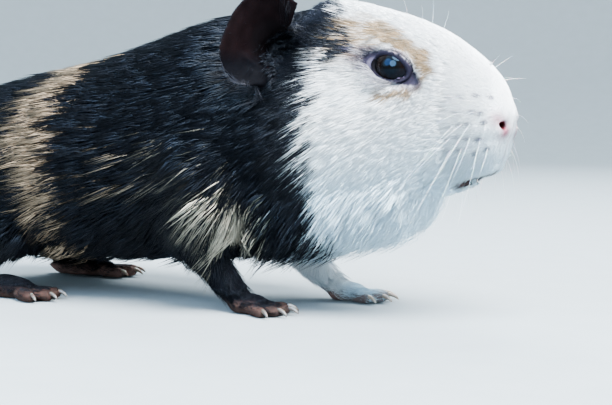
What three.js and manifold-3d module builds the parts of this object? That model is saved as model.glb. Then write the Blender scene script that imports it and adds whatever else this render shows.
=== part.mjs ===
// A life-size guinea pig, standing with its head raised, as a still museum model.
//
// Units are millimetres. +X points where the animal looks, +Y to its left and +Z up, and it stands on z = 0.
// While the animal is built, x = 0 is just behind its shoulders; the last lines move the origin to the
// middle of its footprint.
//
// The outer surface is that of the coat, not of the bare skin. Head, neck, trunk and jaw are one lofted
// body that is parted with thin cuts. The legs, feet, ears, eyes and claws are modelled one by one.

import * as THREE from 'three';
import { mergeVertices } from 'three/addons/utils/BufferGeometryUtils.js';
import Module from 'manifold-3d';

const wasm = await Module();
wasm.setup();

// ---------------------------------------------------------------- driving dimensions

const GAP = 0.3; // clearance between neighbouring pieces
const SIDES = { left: 1, right: -1 }; // sign of y on each side of the animal

// Cross-sections of the body from rump to nose. x is the place, top and bottom are the heights of back and
// belly, half is half the width, and egg makes a section wider below than above.
const SECTIONS = [
  { x: -133, top: 45, bottom: 45, half: 0, egg: 0.0 }, // end of the rump
  { x: -127, top: 62, bottom: 24, half: 22, egg: 0.04 },
  { x: -112, top: 74.5, bottom: 15, half: 36, egg: 0.08 }, // buttocks
  { x: -88, top: 82.5, bottom: 13, half: 45, egg: 0.1 }, // hips
  { x: -60, top: 87, bottom: 12.5, half: 47.5, egg: 0.12 }, // loin
  { x: -30, top: 92.5, bottom: 13, half: 46.5, egg: 0.12 }, // ribs
  { x: 0, top: 101.5, bottom: 15, half: 43, egg: 0.13 }, // withers
  { x: 24, top: 107.5, bottom: 18, half: 38, egg: 0.15 }, // neck
  { x: 43, top: 109.5, bottom: 21.5, half: 34, egg: 0.2 }, // nape, between the ears
  { x: 60, top: 109.5, bottom: 24.5, half: 30.5, egg: 0.27 }, // crown and jowls
  { x: 75, top: 107, bottom: 27, half: 26.5, egg: 0.3 },
  { x: 88, top: 103.2, bottom: 31, half: 22.5, egg: 0.28 }, // eyes
  { x: 100, top: 98, bottom: 38, half: 18.5, egg: 0.2 },
  { x: 110, top: 92.3, bottom: 44.2, half: 15.3, egg: 0.12 }, // lips
  { x: 117.5, top: 86, bottom: 48.2, half: 12.6, egg: 0.06 },
  { x: 122.6, top: 79, bottom: 53.5, half: 9.2, egg: 0.0 },
  { x: 125.2, top: 67.5, bottom: 67.5, half: 0, egg: 0.0 }, // tip of the nose
];
const HEAD_STARTS = 40; // x from which the rings lie closer together
const RINGS_PER_SECTION = { trunk: 2, head: 2 };
const RING_POINTS = 26;
const SQUARENESS = 0.93; // under 1 makes each section a little boxier than an ellipse

// Local forms on both sides of the body: they lift (or, if negative, sink) the surface by height mm.
const FORMS = [
  { name: 'brow', x: 86, y: 13, z: 95, radius: 8, height: 1.5 },
  { name: 'temple', x: 56, y: 17, z: 98, radius: 14, height: 2.5 },
  { name: 'hollow before the eye', x: 98, y: 14, z: 82, radius: 7, height: -1.0 },
  { name: 'cheek', x: 68, y: 27, z: 54, radius: 17, height: 2.2 },
  { name: 'whisker pad', x: 115, y: 12, z: 59, radius: 7, height: 1.3 },
  { name: 'side of the nose', x: 119, y: 8, z: 77, radius: 5, height: -0.6 },
  { name: 'hollow behind the cheek', x: 38, y: 36, z: 46, radius: 14, height: -1.8 },
  { name: 'hollow behind the shoulder', x: -8, y: 42, z: 40, radius: 14, height: -2.0 },
  { name: 'flank before the thigh', x: -42, y: 45, z: 28, radius: 13, height: -1.8 },
];

// The cuts between head, neck and trunk, each by its highest and lowest point on the midline.
const NECK_CUTS = {
  behindHead: { top: [36, 112], bottom: [50, 18] },
  beforeShoulders: { top: [6, 112], bottom: [26, 10] },
};

const JAW_OUTLINE = [[130, 46.9], [99, 46.4], [92, 20], [130, 20]]; // x, z of the chin's region
const JAW_HALF_WIDTH = 30; // wider than the chin, so that the cut goes right across
const MOUTH_OUTLINE = [[119, 44.6], [116.5, 48.4], [105.5, 46.9]]; // x, z of the gap between the lips
const MOUTH_HALF_WIDTH = 7.5;

const NOSE_PAD = { centre: [125, 0, 67], radii: [4.8, 8.2, 7.8] };
const NOSTRIL = { centre: [123.2, 5.2, 65.6], radii: [3.0, 1.3, 1.9], tilt: 0.5 };

const EYE = { centre: [88, 13.0, 84], radius: 6.8, opening: [5.3, 4.2], tilt: -0.25 };

// The ear is a leaf that opens like a fan round its canal. Its rim radius and how far it stands out from
// the head change with the angle, which runs in the side view from the front edge over the top to the lobe.
const EAR = {
  canal: [50.5, 24.5, 93],
  canalRadius: 4.2,
  fromAngle: THREE.MathUtils.degToRad(52),
  toAngle: THREE.MathUtils.degToRad(268),
  rimRadii: [15.5, 17, 15.9, 13.4, 11.9, 13.4, 16.2, 17, 14.5],
  flares: [6.5, 11, 14.5, 17.2, 18.8, 19.4, 17.6, 14, 9],
  rootRadius: 3,
  thickness: 1.7,
  rimThickness: 1.0,
  fanSteps: 16,
  leafSteps: 3,
};

// Each leg: hip or shoulder is the muscle's ellipsoid, then a tapering column from knee to ankle.
const FORELEG = {
  muscle: { centre: [16, 30.5, 43], radii: [17.5, 14.5, 23] },
  column: [{ at: [12, 27, 34], r: 11.5 }, { at: [11, 25, 24], r: 9.5 }, { at: [16, 23, 15], r: 7.2 },
    { at: [20, 22, 6.5], r: 5.6 }],
  wristHeight: 9.5,
};
const HINDLEG = {
  muscle: { centre: [-82, 31, 37], radii: [29, 17.5, 27] },
  column: [{ at: [-74, 33, 26], r: 13.5 }, { at: [-80, 33, 18], r: 10.5 }, { at: [-88, 32.5, 11.5], r: 7.6 },
    { at: [-90, 32, 6], r: 5.4 }],
  ankleHeight: 10.5,
};
// How far each leg's lower end is carried forward of the resting place above, in this stride.
const STRIDE = { foreleg: { left: 27, right: 12 }, hindleg: { left: -6, right: 12 } };

// Feet, measured from the ankle's place on the floor. Toes are lengths and angles from the inner toe out.
const FOREFOOT = {
  ankle: [20, 22], heelBack: 4, palmLength: 17, palmWidth: 12.5, palmHeight: 8.4, turn: 0.08,
  toes: [{ length: 6.5, angle: -0.42 }, { length: 9.5, angle: -0.12 }, { length: 9.5, angle: 0.16 },
    { length: 7, angle: 0.48 }],
  toeRadius: 2.35,
};
const HINDFOOT = {
  ankle: [-88, 32], heelBack: 7, palmLength: 35, palmWidth: 13, palmHeight: 10, turn: 0.14,
  toes: [{ length: 8.5, angle: -0.24 }, { length: 11, angle: 0.0 }, { length: 8.5, angle: 0.26 }],
  toeRadius: 2.7,
};
const CLAW = { length: 5.4, radius: 0.95, droop: 0.5, sides: 5, steps: 3 };

const COLOURS = {
  white: 0xe9edf2, black: 0x17171c, tan: 0xb8936a, earSkin: 0x3a2a2c, noseSkin: 0xd9a7a6, eye: 0x0b0b10,
  pinkSkin: 0xc9a196, claw: 0xb9a792,
};

// ---------------------------------------------------------------- shapes and solids

// A closed mesh becomes a manifold-3d solid, which can be joined and cut.
function solidOf(geometry) {
  const bare = geometry.clone();
  bare.deleteAttribute('normal');
  bare.deleteAttribute('uv');
  const merged = mergeVertices(bare, 1e-4);
  return new wasm.Manifold(new wasm.Mesh({
    numProp: 3,
    vertProperties: new Float32Array(merged.attributes.position.array),
    triVerts: new Uint32Array(merged.index.array),
  }));
}

function geometryOf(solid) {
  const mesh = solid.getMesh();
  const places = new Float32Array(mesh.numVert * 3);
  for (let i = 0; i < mesh.numVert; i++) {
    places.set(mesh.vertProperties.subarray(i * mesh.numProp, i * mesh.numProp + 3), i * 3);
  }
  const geometry = new THREE.BufferGeometry();
  geometry.setAttribute('position', new THREE.BufferAttribute(places, 3));
  geometry.setIndex(new THREE.BufferAttribute(new Uint32Array(mesh.triVerts), 1));
  geometry.computeVertexNormals();
  return geometry;
}

// The largest separate piece of a solid: a cut may leave crumbs beside it.
function largestPiece(solid) {
  return solid.decompose().reduce((best, piece) => (piece.volume() > best.volume() ? piece : best));
}

// Joins rings of points, all with the same count, into one closed surface. A single point closes each end.
function loftGeometry(rings, startPoint, endPoint) {
  const count = rings[0].length;
  const points = [startPoint, ...rings.flat(), endPoint];
  const last = points.length - 1;
  const at = (ring, i) => 1 + ring * count + (i % count);
  const faces = [];
  for (let i = 0; i < count; i++) {
    faces.push(0, at(0, i + 1), at(0, i));
    faces.push(last, at(rings.length - 1, i), at(rings.length - 1, i + 1));
    for (let ring = 0; ring < rings.length - 1; ring++) {
      const [a, b, c, d] = [at(ring, i), at(ring, i + 1), at(ring + 1, i + 1), at(ring + 1, i)];
      faces.push(a, b, c, a, c, d);
    }
  }
  const geometry = new THREE.BufferGeometry().setFromPoints(points);
  geometry.setIndex(faces);
  return geometry;
}

function facingOut(geometry) {
  const solid = solidOf(geometry);
  if (solid.volume() > 0) return solid;
  const index = geometry.index.array;
  for (let i = 0; i < index.length; i += 3) [index[i], index[i + 1]] = [index[i + 1], index[i]];
  return solidOf(geometry);
}

function ellipsoid({ centre, radii }, side, grow = 0, detail = 12, tilt = 0) {
  const geometry = new THREE.SphereGeometry(1, detail, Math.round(detail * 0.6));
  geometry.scale(radii[0] + grow, radii[1] + grow, radii[2] + grow);
  geometry.rotateX(tilt * side);
  geometry.translate(centre[0], centre[1] * side, centre[2]);
  return solidOf(geometry);
}

// A column with a round section whose centre and radius change along it.
function column(stations, grow = 0, sides = 9) {
  const path = new THREE.CatmullRomCurve3(stations.map((s) => new THREE.Vector3(...s.at)));
  const steps = (stations.length - 1) * 2;
  const rings = [];
  for (let i = 0; i <= steps; i++) {
    const t = i / steps;
    const centre = path.getPoint(t);
    const along = path.getTangent(t);
    const across = new THREE.Vector3(0, 1, 0).cross(along).normalize();
    const up = along.clone().cross(across);
    const place = t * (stations.length - 1);
    const low = Math.min(Math.floor(place), stations.length - 2);
    const radius = grow + THREE.MathUtils.lerp(stations[low].r, stations[low + 1].r, place - low);
    rings.push(Array.from({ length: sides }, (_, k) => {
      const angle = (k / sides) * 2 * Math.PI;
      return centre.clone().addScaledVector(across, radius * Math.cos(angle))
        .addScaledVector(up, radius * Math.sin(angle));
    }));
  }
  return facingOut(loftGeometry(rings, path.getPoint(0), path.getPoint(1)));
}

// A prism across the animal, from an outline in the side view.
function sidePrism(outline, halfWidth) {
  const shape = new THREE.Shape(outline.map(([x, z]) => new THREE.Vector2(x, z)));
  const geometry = new THREE.ExtrudeGeometry(shape, { depth: 2 * halfWidth, bevelEnabled: false });
  geometry.rotateX(Math.PI / 2);
  geometry.translate(0, halfWidth, 0);
  return facingOut(mergeVertices(geometry.deleteAttribute('normal').deleteAttribute('uv'), 1e-4));
}

// ---------------------------------------------------------------- the lofted body

function catmullRom(a, b, c, d, u) {
  return 0.5 * (2 * b + (c - a) * u + (2 * a - 5 * b + 4 * c - d) * u * u + (3 * b - a - 3 * c + d) * u ** 3);
}

// The sections go on past each end as their own mirror images, so that nose and rump close round.
function sectionAt(t) {
  const mirrored = (s) => ({ ...s, top: s.bottom, bottom: s.top, half: -s.half });
  const all = [mirrored(SECTIONS[1]), ...SECTIONS, mirrored(SECTIONS.at(-2))];
  const low = Math.min(Math.floor(t), SECTIONS.length - 2);
  const [a, b, c, d] = all.slice(low, low + 4);
  const blend = (key) => catmullRom(a[key], b[key], c[key], d[key], t - low);
  return { x: blend('x'), top: blend('top'), bottom: blend('bottom'), half: blend('half'), egg: blend('egg') };
}

function liftAt(point) {
  return FORMS.reduce((sum, form) => {
    const far = (point.x - form.x) ** 2 + (Math.abs(point.y) - form.y) ** 2 + (point.z - form.z) ** 2;
    return sum + form.height * Math.exp(-far / form.radius ** 2);
  }, 0);
}

// Where the rings lie, counted in sections from the rump. The two ends are single points, not rings.
function ringPlaces() {
  return SECTIONS.slice(0, -1).flatMap((section, i) => {
    const count = section.x < HEAD_STARTS ? RINGS_PER_SECTION.trunk : RINGS_PER_SECTION.head;
    return Array.from({ length: count }, (_, k) => i + k / count);
  }).slice(1);
}

function bodySolid(grow = 0) {
  const power = (v) => Math.sign(v) * Math.abs(v) ** SQUARENESS;
  const rings = ringPlaces().map((t) => {
    const s = sectionAt(t);
    const middle = (s.top + s.bottom) / 2;
    return Array.from({ length: RING_POINTS }, (_, k) => {
      const angle = (k / RING_POINTS) * 2 * Math.PI;
      const [c, sn] = [Math.cos(angle), Math.sin(angle)];
      const point = new THREE.Vector3(s.x, s.half * power(c) * (1 - s.egg * sn),
        middle + ((s.top - s.bottom) / 2) * power(sn));
      const out = new THREE.Vector3(0, point.y, point.z - middle).normalize();
      return point.addScaledVector(out, liftAt(point) + grow);
    });
  });
  const tip = (s, way) => new THREE.Vector3(s.x + way * grow, 0, s.top);
  return facingOut(loftGeometry(rings, tip(SECTIONS[0], -1), tip(SECTIONS.at(-1), 1)));
}

// Cuts a solid by the plane through a slanted line of the side view. The front part is where x is larger.
function partedAt(solid, { top, bottom }) {
  const along = new THREE.Vector2(top[0] - bottom[0], top[1] - bottom[1]).normalize();
  const normal = [along.y, 0, -along.x];
  const offset = normal[0] * top[0] + normal[2] * top[1];
  const front = solid.trimByPlane(normal, offset + GAP / 2);
  const rear = solid.trimByPlane(normal.map((v) => -v), -(offset - GAP / 2));
  return { front, rear };
}

// ---------------------------------------------------------------- ears, eyes, legs, feet, claws

function valueAlong(values, t) {
  const place = t * (values.length - 1);
  const low = Math.min(Math.floor(place), values.length - 2);
  const at = (i) => values[THREE.MathUtils.clamp(i, 0, values.length - 1)];
  return catmullRom(at(low - 1), at(low), at(low + 1), at(low + 2), place - low);
}

// A point on the middle layer of the ear: u runs round the fan and v from the canal to the rim.
function earPoint(u, v, side) {
  const angle = THREE.MathUtils.lerp(EAR.fromAngle, EAR.toAngle, u);
  const radius = THREE.MathUtils.lerp(EAR.rootRadius, valueAlong(EAR.rimRadii, u), v);
  const standOut = valueAlong(EAR.flares, u) * (1.25 * v - 0.25 * v ** 3) - 3;
  const [x, y, z] = EAR.canal;
  return new THREE.Vector3(x + radius * Math.cos(angle), side * (y + standOut), z + radius * Math.sin(angle));
}

function earSolid(side) {
  const step = 1e-3;
  const layer = (way) => (i, j) => {
    const u = i / EAR.fanSteps;
    const v = j / EAR.leafSteps;
    const point = earPoint(u, v, side);
    const alongFan = earPoint(Math.min(u + step, 1), v, side).sub(earPoint(Math.max(u - step, 0), v, side));
    const alongLeaf = earPoint(u, Math.min(v + step, 1), side).sub(earPoint(u, Math.max(v - step, 0), side));
    const normal = alongFan.cross(alongLeaf).normalize();
    const thickness = THREE.MathUtils.lerp(EAR.thickness, EAR.rimThickness, v);
    return point.addScaledVector(normal, (way * thickness) / 2);
  };
  // Each ring goes out along one face of the leaf, over the rim and back along the other.
  const rings = [];
  for (let i = 0; i <= EAR.fanSteps; i++) {
    const front = Array.from({ length: EAR.leafSteps + 1 }, (_, j) => layer(1)(i, j));
    const back = Array.from({ length: EAR.leafSteps + 1 }, (_, j) => layer(-1)(i, EAR.leafSteps - j));
    rings.push([...front, ...back]);
  }
  const middleOf = (ring) => ring.reduce((sum, p) => sum.add(p), new THREE.Vector3())
    .multiplyScalar(1 / ring.length);
  return facingOut(loftGeometry(rings, middleOf(rings[0]), middleOf(rings.at(-1))));
}

// The slanted almond between the lids, as a cutter that runs outwards from the eyeball.
function eyeOpening(side) {
  const shape = new THREE.Shape();
  shape.absellipse(0, 0, EYE.opening[0], EYE.opening[1], 0, 2 * Math.PI);
  const geometry = new THREE.ExtrudeGeometry(shape, { depth: 20, bevelEnabled: false, curveSegments: 10 });
  geometry.rotateZ(EYE.tilt);
  geometry.rotateX(Math.PI / 2);
  geometry.translate(EYE.centre[0], side > 0 ? EYE.centre[1] + 20 : -EYE.centre[1], EYE.centre[2]);
  return facingOut(mergeVertices(geometry.deleteAttribute('normal').deleteAttribute('uv'), 1e-4));
}

// A leg stretches from its muscle to its foot, and its lower end is carried forward by the stride.
function legSolid(leg, side, stride, grow = 0) {
  const stations = leg.column.map((s, i) => {
    const share = i / (leg.column.length - 1);
    return { at: [s.at[0] + stride * share, s.at[1] * side, s.at[2]], r: s.r };
  });
  const muscle = { ...leg.muscle, centre: leg.muscle.centre.with(0, leg.muscle.centre[0] + stride * 0.25) };
  return ellipsoid(muscle, side, grow, 14).add(column(stations, grow));
}

// Where each toe of a foot starts and points, in the row order of foot.toes.
function toeLines(foot, side, stride) {
  const [x, y] = foot.ankle;
  const front = foot.palmLength - foot.heelBack - foot.toeRadius * 1.6;
  return foot.toes.map((toe, i) => {
    const spread = ((i / (foot.toes.length - 1)) * 2 - 1) * (foot.palmWidth / 2 - foot.toeRadius * 0.9);
    const outward = new THREE.Vector2(front, spread).rotateAround(new THREE.Vector2(), foot.turn);
    const heading = toe.angle + foot.turn;
    return {
      start: new THREE.Vector3(x + stride + outward.x, side * (y + outward.y), foot.toeRadius * 0.85),
      way: new THREE.Vector3(Math.cos(heading), side * Math.sin(heading), 0),
      length: toe.length,
    };
  });
}

function footSolid(foot, side, stride) {
  const palm = new THREE.SphereGeometry(1, 8, 6);
  palm.scale(foot.palmLength / 2, foot.palmWidth / 2, foot.palmHeight / 2);
  palm.translate(foot.palmLength / 2 - foot.heelBack, 0, foot.palmHeight * 0.36);
  palm.rotateZ(foot.turn * side);
  palm.translate(foot.ankle[0] + stride, foot.ankle[1] * side, 0);
  const toes = toeLines(foot, side, stride).map(({ start, way, length }) => {
    const toe = new THREE.CapsuleGeometry(foot.toeRadius, length, 2, 6);
    toe.rotateZ(-Math.PI / 2);
    toe.translate(length / 2, 0, 0);
    toe.rotateZ(Math.atan2(way.y, way.x));
    toe.translate(start.x, start.y, start.z);
    return solidOf(toe);
  });
  return toes.reduce((foot_, toe) => foot_.add(toe), solidOf(palm));
}

// A claw is a thin horn that leaves the end of its toe and droops towards the floor.
function clawSolid({ start, way, length }, foot, grow = 0) {
  const root = start.clone().addScaledVector(way, length + foot.toeRadius * 0.45);
  root.z += foot.toeRadius * 0.35;
  const across = new THREE.Vector3(-way.y, way.x, 0);
  const rings = [];
  for (let i = 0; i < CLAW.steps; i++) {
    const t = i / CLAW.steps;
    const bend = CLAW.droop * t;
    const centre = root.clone().addScaledVector(way, CLAW.length * t * Math.cos(bend));
    centre.z -= CLAW.length * t * Math.sin(bend);
    const radius = CLAW.radius * Math.sqrt(1 - t * t * 0.9) + grow;
    const up = new THREE.Vector3(0, 0, Math.cos(bend)).addScaledVector(way, Math.sin(bend));
    rings.push(Array.from({ length: CLAW.sides }, (_, k) => {
      const angle = (k / CLAW.sides) * 2 * Math.PI;
      return centre.clone().addScaledVector(across, radius * 0.8 * Math.cos(angle))
        .addScaledVector(up, radius * Math.sin(angle));
    }));
  }
  const tip = root.clone().addScaledVector(way, CLAW.length * Math.cos(CLAW.droop));
  tip.z -= CLAW.length * Math.sin(CLAW.droop);
  return facingOut(loftGeometry(rings, root.clone().addScaledVector(way, -grow), tip));
}

// ---------------------------------------------------------------- the animal, piece by piece

const guineaPig = new THREE.Group();

function addPiece(name, solid, colour, roughness = 0.85) {
  const material = new THREE.MeshStandardMaterial({ color: colour, roughness, metalness: 0 });
  const mesh = new THREE.Mesh(geometryOf(largestPiece(solid)), material);
  mesh.name = name;
  guineaPig.add(mesh);
  return mesh;
}

const aboveFloor = (solid) => solid.trimByPlane([0, 0, 1], 0);
const above = (solid, height) => solid.trimByPlane([0, 0, 1], height + GAP / 2);
const below = (solid, height) => solid.trimByPlane([0, 0, -1], -(height - GAP / 2));

// Head, neck and trunk are one body, cut behind the head and before the shoulders.
const behindHead = partedAt(bodySolid(), NECK_CUTS.behindHead);
const beforeShoulders = partedAt(behindHead.rear, NECK_CUTS.beforeShoulders);
let head = behindHead.front;
let neck = beforeShoulders.front;
let trunk = beforeShoulders.rear;

// The chin and the nose pad are cut from the head, and the lips part a little in front.
const jawRegion = sidePrism(JAW_OUTLINE, JAW_HALF_WIDTH);
const jawRoom = sidePrism(JAW_OUTLINE.map(([x, z]) => [x - GAP, z + GAP]), JAW_HALF_WIDTH);
const mouth = sidePrism(MOUTH_OUTLINE, MOUTH_HALF_WIDTH);
const jaw = head.intersect(jawRegion).subtract(mouth);
head = head.subtract(jawRoom).subtract(mouth);
let nose = head.intersect(ellipsoid(NOSE_PAD, 1, 0));
head = head.subtract(ellipsoid(NOSE_PAD, 1, GAP));

const skull = bodySolid(GAP);
for (const [sideName, side] of Object.entries(SIDES)) {
  nose = nose.subtract(ellipsoid(NOSTRIL, side, 0, 7, NOSTRIL.tilt));

  const eyeball = { centre: EYE.centre, radii: [EYE.radius, EYE.radius, EYE.radius] };
  head = head.subtract(ellipsoid(eyeball, side, GAP)).subtract(eyeOpening(side));
  addPiece(`eye_${sideName}`, ellipsoid(eyeball, side), COLOURS.eye, 0.05);

  const canal = { centre: EAR.canal, radii: [EAR.canalRadius, 7, EAR.canalRadius] };
  head = head.subtract(ellipsoid(canal, side, 0, 8));
  addPiece(`ear_${sideName}`, earSolid(side).subtract(skull), COLOURS.earSkin, 0.7);
}

const LEG_KINDS = {
  foreleg: { leg: FORELEG, foot: FOREFOOT, footName: 'forefoot', cutAt: FORELEG.wristHeight },
  hindleg: { leg: HINDLEG, foot: HINDFOOT, footName: 'hindfoot', cutAt: HINDLEG.ankleHeight },
};
const LEG_COLOURS = {
  foreleg_left: COLOURS.white, foreleg_right: COLOURS.black,
  hindleg_left: COLOURS.tan, hindleg_right: COLOURS.black,
};
for (const [legName, { leg, foot, footName, cutAt }] of Object.entries(LEG_KINDS)) {
  for (const [sideName, side] of Object.entries(SIDES)) {
    const stride = STRIDE[legName][sideName];
    const limb = aboveFloor(legSolid(leg, side, stride).add(footSolid(foot, side, stride)));
    const room = legSolid(leg, side, stride, GAP);
    trunk = trunk.subtract(room);
    neck = neck.subtract(room);
    head = head.subtract(room);

    let footPiece = below(limb, cutAt);
    toeLines(foot, side, stride).forEach((toe, i) => {
      footPiece = footPiece.subtract(clawSolid(toe, foot, GAP));
      addPiece(`claw_${footName}_${sideName}_${i + 1}`, aboveFloor(clawSolid(toe, foot)), COLOURS.claw, 0.4);
    });
    addPiece(`${footName}_${sideName}`, footPiece, COLOURS.pinkSkin);
    addPiece(`${legName}_${sideName}`, above(limb, cutAt), LEG_COLOURS[`${legName}_${sideName}`]);
  }
}

addPiece('head', head, COLOURS.white);
addPiece('jaw', jaw, COLOURS.white);
addPiece('nose', nose, COLOURS.noseSkin, 0.5);
addPiece('neck', neck, COLOURS.black);
addPiece('trunk', trunk, COLOURS.black);

// The origin goes to the middle of the animal's footprint.
const extent = new THREE.Box3().setFromObject(guineaPig);
const middle = extent.getCenter(new THREE.Vector3());
guineaPig.position.set(-middle.x, -middle.y, -extent.min.z);

export default guineaPig;
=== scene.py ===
# %% [markdown]
# # A guinea pig and its coat
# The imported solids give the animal's outline out to the tips of its coat. This lesson grows one smooth skin
# inside them, sculpts lids, nostrils, mouth and ears into it, and then covers it with tens of thousands of
# small closed tufts. The frame says where things sit: large ones come from the boxes of its solids, and small
# features and markings are given in millimetres of that same frame.

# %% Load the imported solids
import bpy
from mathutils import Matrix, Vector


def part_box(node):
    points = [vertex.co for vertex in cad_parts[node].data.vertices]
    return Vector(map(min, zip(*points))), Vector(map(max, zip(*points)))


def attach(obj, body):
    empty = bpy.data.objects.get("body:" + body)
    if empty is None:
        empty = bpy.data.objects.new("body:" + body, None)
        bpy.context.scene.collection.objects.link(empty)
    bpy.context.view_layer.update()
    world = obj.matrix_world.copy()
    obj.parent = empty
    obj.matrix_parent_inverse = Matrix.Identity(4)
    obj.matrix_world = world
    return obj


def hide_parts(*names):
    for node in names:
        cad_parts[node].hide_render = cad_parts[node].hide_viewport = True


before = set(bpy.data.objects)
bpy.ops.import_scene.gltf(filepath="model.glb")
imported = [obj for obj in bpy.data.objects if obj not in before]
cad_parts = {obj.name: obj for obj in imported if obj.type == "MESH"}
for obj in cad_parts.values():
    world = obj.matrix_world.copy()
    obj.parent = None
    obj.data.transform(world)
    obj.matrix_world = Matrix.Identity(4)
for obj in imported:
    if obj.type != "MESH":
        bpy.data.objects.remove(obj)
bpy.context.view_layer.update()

import math
import bmesh
import bpy
import numpy as np
from mathutils import Vector, kdtree
from mathutils.bvhtree import BVHTree

MM = 0.001  # the arrays below count in millimetres, Blender counts in metres
SIDES = {"left": 1.0, "right": -1.0}

# %% [markdown]
# Landmarks come from the boxes of the solids: the eyeballs and the tip of the nose. The nostril is measured
# from the tip of the nose. Only the left one is given, because the right one is its mirror image.

# %% Landmarks
def box_mm(node):
    low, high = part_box(node)
    return np.array(low) / MM, np.array(high) / MM


def centre_mm(node):
    return sum(box_mm(node)) / 2


EYE = {side: centre_mm(f"eye_{side}") for side in SIDES}
EYE_RADIUS = (box_mm("eye_left")[1][1] - box_mm("eye_left")[0][1]) / 2
NOSE_HEIGHT = 67.0  # mm, of the foremost point over the floor
NOSE_TIP = np.array([box_mm("nose")[1][0], 0.0, NOSE_HEIGHT])
NOSTRIL = NOSE_TIP + (-2.5, 5.6, -1.6)  # on the left
print("eye radius", round(float(EYE_RADIUS), 2), "nose tip at", NOSE_TIP.round(1))

# %% [markdown]
# ## Camera and studio
# The camera stands low on the animal's right, a little ahead of the head, and looks back and slightly down at
# it. Its place is given from the right eye, in metres, so it follows the model.

# %% Camera
CAMERA_FROM_EYE = Vector((0.1900, -0.3874, -0.0142))
CAMERA_AZIMUTH, CAMERA_ELEVATION = math.radians(30), math.radians(4)
CAMERA_LENS, CAMERA_SENSOR = 76.47, 36.0


def direction_to(azimuth, elevation):
    flat = math.cos(elevation)
    return Vector((math.sin(azimuth) * flat, -math.cos(azimuth) * flat, math.sin(elevation)))


def linked(name, data):
    """A new object with that data, in the scene."""
    obj = bpy.data.objects.new(name, data)
    bpy.context.scene.collection.objects.link(obj)
    return obj


camera = linked("camera", bpy.data.cameras.new("camera"))
camera.data.lens, camera.data.sensor_width = CAMERA_LENS, CAMERA_SENSOR
camera.data.clip_start, camera.data.clip_end = 0.01, 20
camera.location = Vector(EYE["right"] * MM) + CAMERA_FROM_EYE
camera.rotation_mode = "QUATERNION"
camera.rotation_quaternion = (-direction_to(CAMERA_AZIMUTH, CAMERA_ELEVATION)).to_track_quat("-Z", "Y")
bpy.context.scene.camera = camera
print("camera at", [round(v, 3) for v in camera.location])

# %% [markdown]
# Small helpers come next: one makes a mesh from arrays and one a material with its shader. Arrays are chosen
# over the modelling tools because they write hundreds of thousands of points at once. Every material starts
# from the Principled shader, and constants are set on its own sockets.

# %% Mesh and material helpers
def mesh_object(name, points_mm, faces, material):
    """A smooth-shaded mesh object from points in mm. faces is one array of triangles or of quads."""
    mesh = bpy.data.meshes.new(name)
    corners = faces.shape[1]
    mesh.vertices.add(len(points_mm))
    mesh.vertices.foreach_set("co", (points_mm * MM).astype(np.float32).ravel())
    mesh.loops.add(faces.size)
    mesh.loops.foreach_set("vertex_index", faces.astype(np.int32).ravel())
    mesh.polygons.add(len(faces))
    mesh.polygons.foreach_set("loop_start", np.arange(0, faces.size, corners, dtype=np.int32))
    mesh.polygons.foreach_set("use_smooth", np.ones(len(faces), bool))
    mesh.materials.append(material)
    mesh.update(calc_edges=True)
    return linked(name, mesh)


def ring_faces(rings, around):
    """Triangles of a fan round point 0, and of the bands between the rings of points that follow it."""
    here, after = np.arange(around), (np.arange(around) + 1) % around
    faces = [np.stack([np.zeros_like(here), 1 + here, 1 + after], 1)]
    for ring in range(rings - 1):
        a, b = 1 + ring * around, 1 + (ring + 1) * around
        faces.append(np.stack([a + here, b + here, b + after], 1))
        faces.append(np.stack([a + here, b + after, a + after], 1))
    return np.concatenate(faces)


def material(name, roughness=0.5, **constants):
    """A new material and its node tree's handles: (material, nodes, links, shader)."""
    made = bpy.data.materials.new(name)
    made.use_nodes = True
    nodes, links = made.node_tree.nodes, made.node_tree.links
    shader = nodes["Principled BSDF"]
    shader.inputs["Roughness"].default_value = roughness
    for socket, value in constants.items():
        shader.inputs[socket.replace("_", " ")].default_value = value
    return made, nodes, links, shader


def colour_from_points(nodes, links, shader, layer):
    """Lets the shader take its colour from a colour that is stored on the mesh's points."""
    colour = nodes.new("ShaderNodeAttribute")
    colour.attribute_name = layer
    links.new(colour.outputs["Color"], shader.inputs["Base Color"])


# %% [markdown]
# Paper and horn are never one flat tone. Both are mottled by fine noise between a dark and a light tone, so
# that effect is a node group with named inputs, built once and placed in each material with its own values.

# %% Mottle group
MIX_FACTOR, MIX_A, MIX_B, MIX_RESULT = 0, 6, 7, 2  # the sockets of a Mix node that blends colours


def mottle_group():
    tree = bpy.data.node_groups.new("mottle", "ShaderNodeTree")
    for socket, kind in (("Scale", "Float"), ("Dark", "Color"), ("Light", "Color")):
        tree.interface.new_socket(socket, in_out="INPUT", socket_type=f"NodeSocket{kind}")
    tree.interface.new_socket("Color", in_out="OUTPUT", socket_type="NodeSocketColor")
    nodes, links = tree.nodes, tree.links
    given, out = nodes.new("NodeGroupInput"), nodes.new("NodeGroupOutput")
    place, noise = nodes.new("ShaderNodeTexCoord"), nodes.new("ShaderNodeTexNoise")
    tones = nodes.new("ShaderNodeMix")
    tones.data_type = "RGBA"
    links.new(place.outputs["Object"], noise.inputs["Vector"])
    links.new(given.outputs["Scale"], noise.inputs["Scale"])
    links.new(noise.outputs["Fac"], tones.inputs[MIX_FACTOR])
    links.new(given.outputs["Dark"], tones.inputs[MIX_A])
    links.new(given.outputs["Light"], tones.inputs[MIX_B])
    links.new(tones.outputs[MIX_RESULT], out.inputs["Color"])
    return tree


MOTTLE = mottle_group()


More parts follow.
